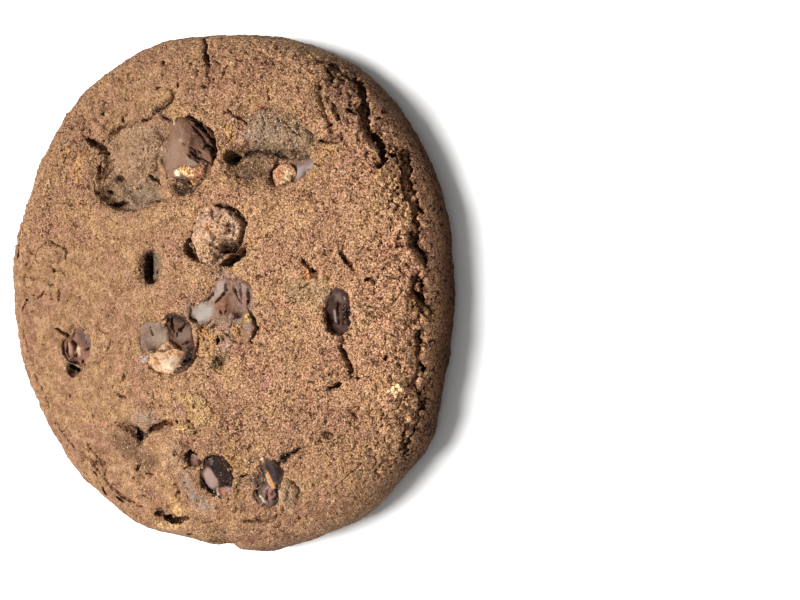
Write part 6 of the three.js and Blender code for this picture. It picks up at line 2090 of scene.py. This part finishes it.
def lumpMesh(name, place, radius, random, cuts):
    # one mesh of little uneven lumps
    bpy.ops.mesh.primitive_ico_sphere_add(subdivisions=cuts, radius=1)
    sample = bpy.context.active_object
    shape = readAll(sample.data.vertices, "co")
    faces = np.array([tuple(face.vertices) for face in sample.data.polygons])
    bpy.data.objects.remove(sample)
    count = len(place)
    stretch = random.uniform(*lumpForm["stretch"], (count, 1, 3))
    wobble = random.uniform(*lumpForm["wobble"], (count, len(shape), 1))
    spin = np.linalg.qr(random.normal(size=(count, 3, 3)))[0]
    spin *= np.sign(np.linalg.det(spin))[:, None, None]
    points = np.einsum("nvi,nij->nvj", shape[None] * stretch * wobble, spin) * radius[:, None, None] + place[:, None]
    faces = faces[None] + (np.arange(count) * len(shape))[:, None, None]
    mesh = bpy.data.meshes.new(name)
    mesh.from_pydata((points.reshape(-1, 3) * mm).tolist(), [], faces.reshape(-1, 3).tolist())
    mesh.update()
    return newPiece(name, mesh), len(shape)


grainLook = {"noise": (0.25, 3.0, 0.7), "limits": (0.3, 0.7), "roughness": 0.9, "bump": 0.08}


def grainMaterial(name, strength):
    ink = Ink(name)
    grain = ink.noise(*grainLook["noise"])
    gain = ink.band(grain, *grainLook["limits"], 1 - strength, 1 + strength)
    colour = ink.scale(ink.attribute("tint", "Color"), gain)
    return ink.finish(colour, grainLook["roughness"], ink.bump(grain, grainLook["bump"]))


def paintLumps(piece, colours, size):
    # colours has one row for each lump, and each lump has this many points
    storeTint(piece, np.repeat(np.column_stack([colours, np.ones(len(colours))]), size, axis=0))


# how far a lump can reach past its radius, how grain sizes vary, and how strongly grains are mottled
grainForm = {"reach": 1.3, "smaller": (0.7, 1.0), "mottle": 0.2}


def buildGrains(name, recipe, sources):
    count = recipe["count"]
    place, facing, random = scatterPlaces(sources, count, recipe["seed"], recipe["side"])
    radius = random.uniform(*recipe["sizes"], count) * random.uniform(*grainForm["smaller"], count)
    place = place - facing * (radius * recipe["sink"])[:, None]
    place = insideBox(place, radius[:, None] * grainForm["reach"])
    piece, size = lumpMesh(name, place, radius, random, 1)
    share = random.random((count, 1))
    first, second = [np.array(tone(*recipe[key])) for key in ("colour", "other")]
    paintLumps(piece, first * share + second * (1 - share), size)
    piece.data.materials.append(grainMaterial(name + "Finish", grainForm["mottle"]))
    settle(piece, "", "baked_dough")
    print(name, len(piece.data.polygons))


# each crumb of the list and the five smaller ones beside it
crumbForm = {
    "seed": 17,
    "mapCell": 0.3,
    "pieces": 6,
    "turn": 6.28,
    "away": (0.5, 1.3),
    "largest": 0.62,
    "smaller": (0.25, 0.48),
    "sink": 0.2,
    "warmth": (1.04, 0.98, 0.95),
    "brightness": (0.8, 1.08),
    "mottle": 0.3,
}


def buildCrumbs(sources):
    # every crumb is dropped onto what lies under it, with smaller ones beside it
    form = crumbForm
    random = np.random.default_rng(form["seed"])
    cell = form["mapCell"]
    highest = heightMap(np.concatenate([Surface(part).points for part in sources]), cell)
    place, radius, colours = [], [], []
    for (x, y), size, colour in crumbs:
        for n in range(form["pieces"]):
            angle = random.uniform(0, form["turn"])
            far = (0 if n == 0 else random.uniform(*form["away"])) * size
            spot = np.array([x + math.cos(angle) * far, y + math.sin(angle) * far])
            ground = highest[tuple((spot / cell + len(highest) / 2).astype(int))]
            grain = size * (form["largest"] if n == 0 else random.uniform(*form["smaller"]))
            if ground:
                most = cadBox[1][2] / mm - grain * grainForm["reach"]
                place.append((*spot, min(ground - grain * form["sink"], most)))
                radius.append(grain)
                colours.append(np.array(tone(*colour)) * form["warmth"] * random.uniform(*form["brightness"]))
    piece, size = lumpMesh("looseCrumbs", np.array(place), np.array(radius), random, 2)
    paintLumps(piece, np.array(colours), size)
    piece.data.materials.append(grainMaterial("crumbFinish", form["mottle"]))
    settle(piece, "", "golden_crumb")
    print("crumbs", len(place), len(piece.data.polygons))


tops = [doughParts[2]]
roughChips = [chipPieces[node] for node in ("chip_centre", "crumb_gold", "chip_melt")]
for name, recipe in grains.items():
    buildGrains(name, recipe, tops + roughChips)
buildCrumbs(tops + list(chipPieces.values()))
print("grains ready")
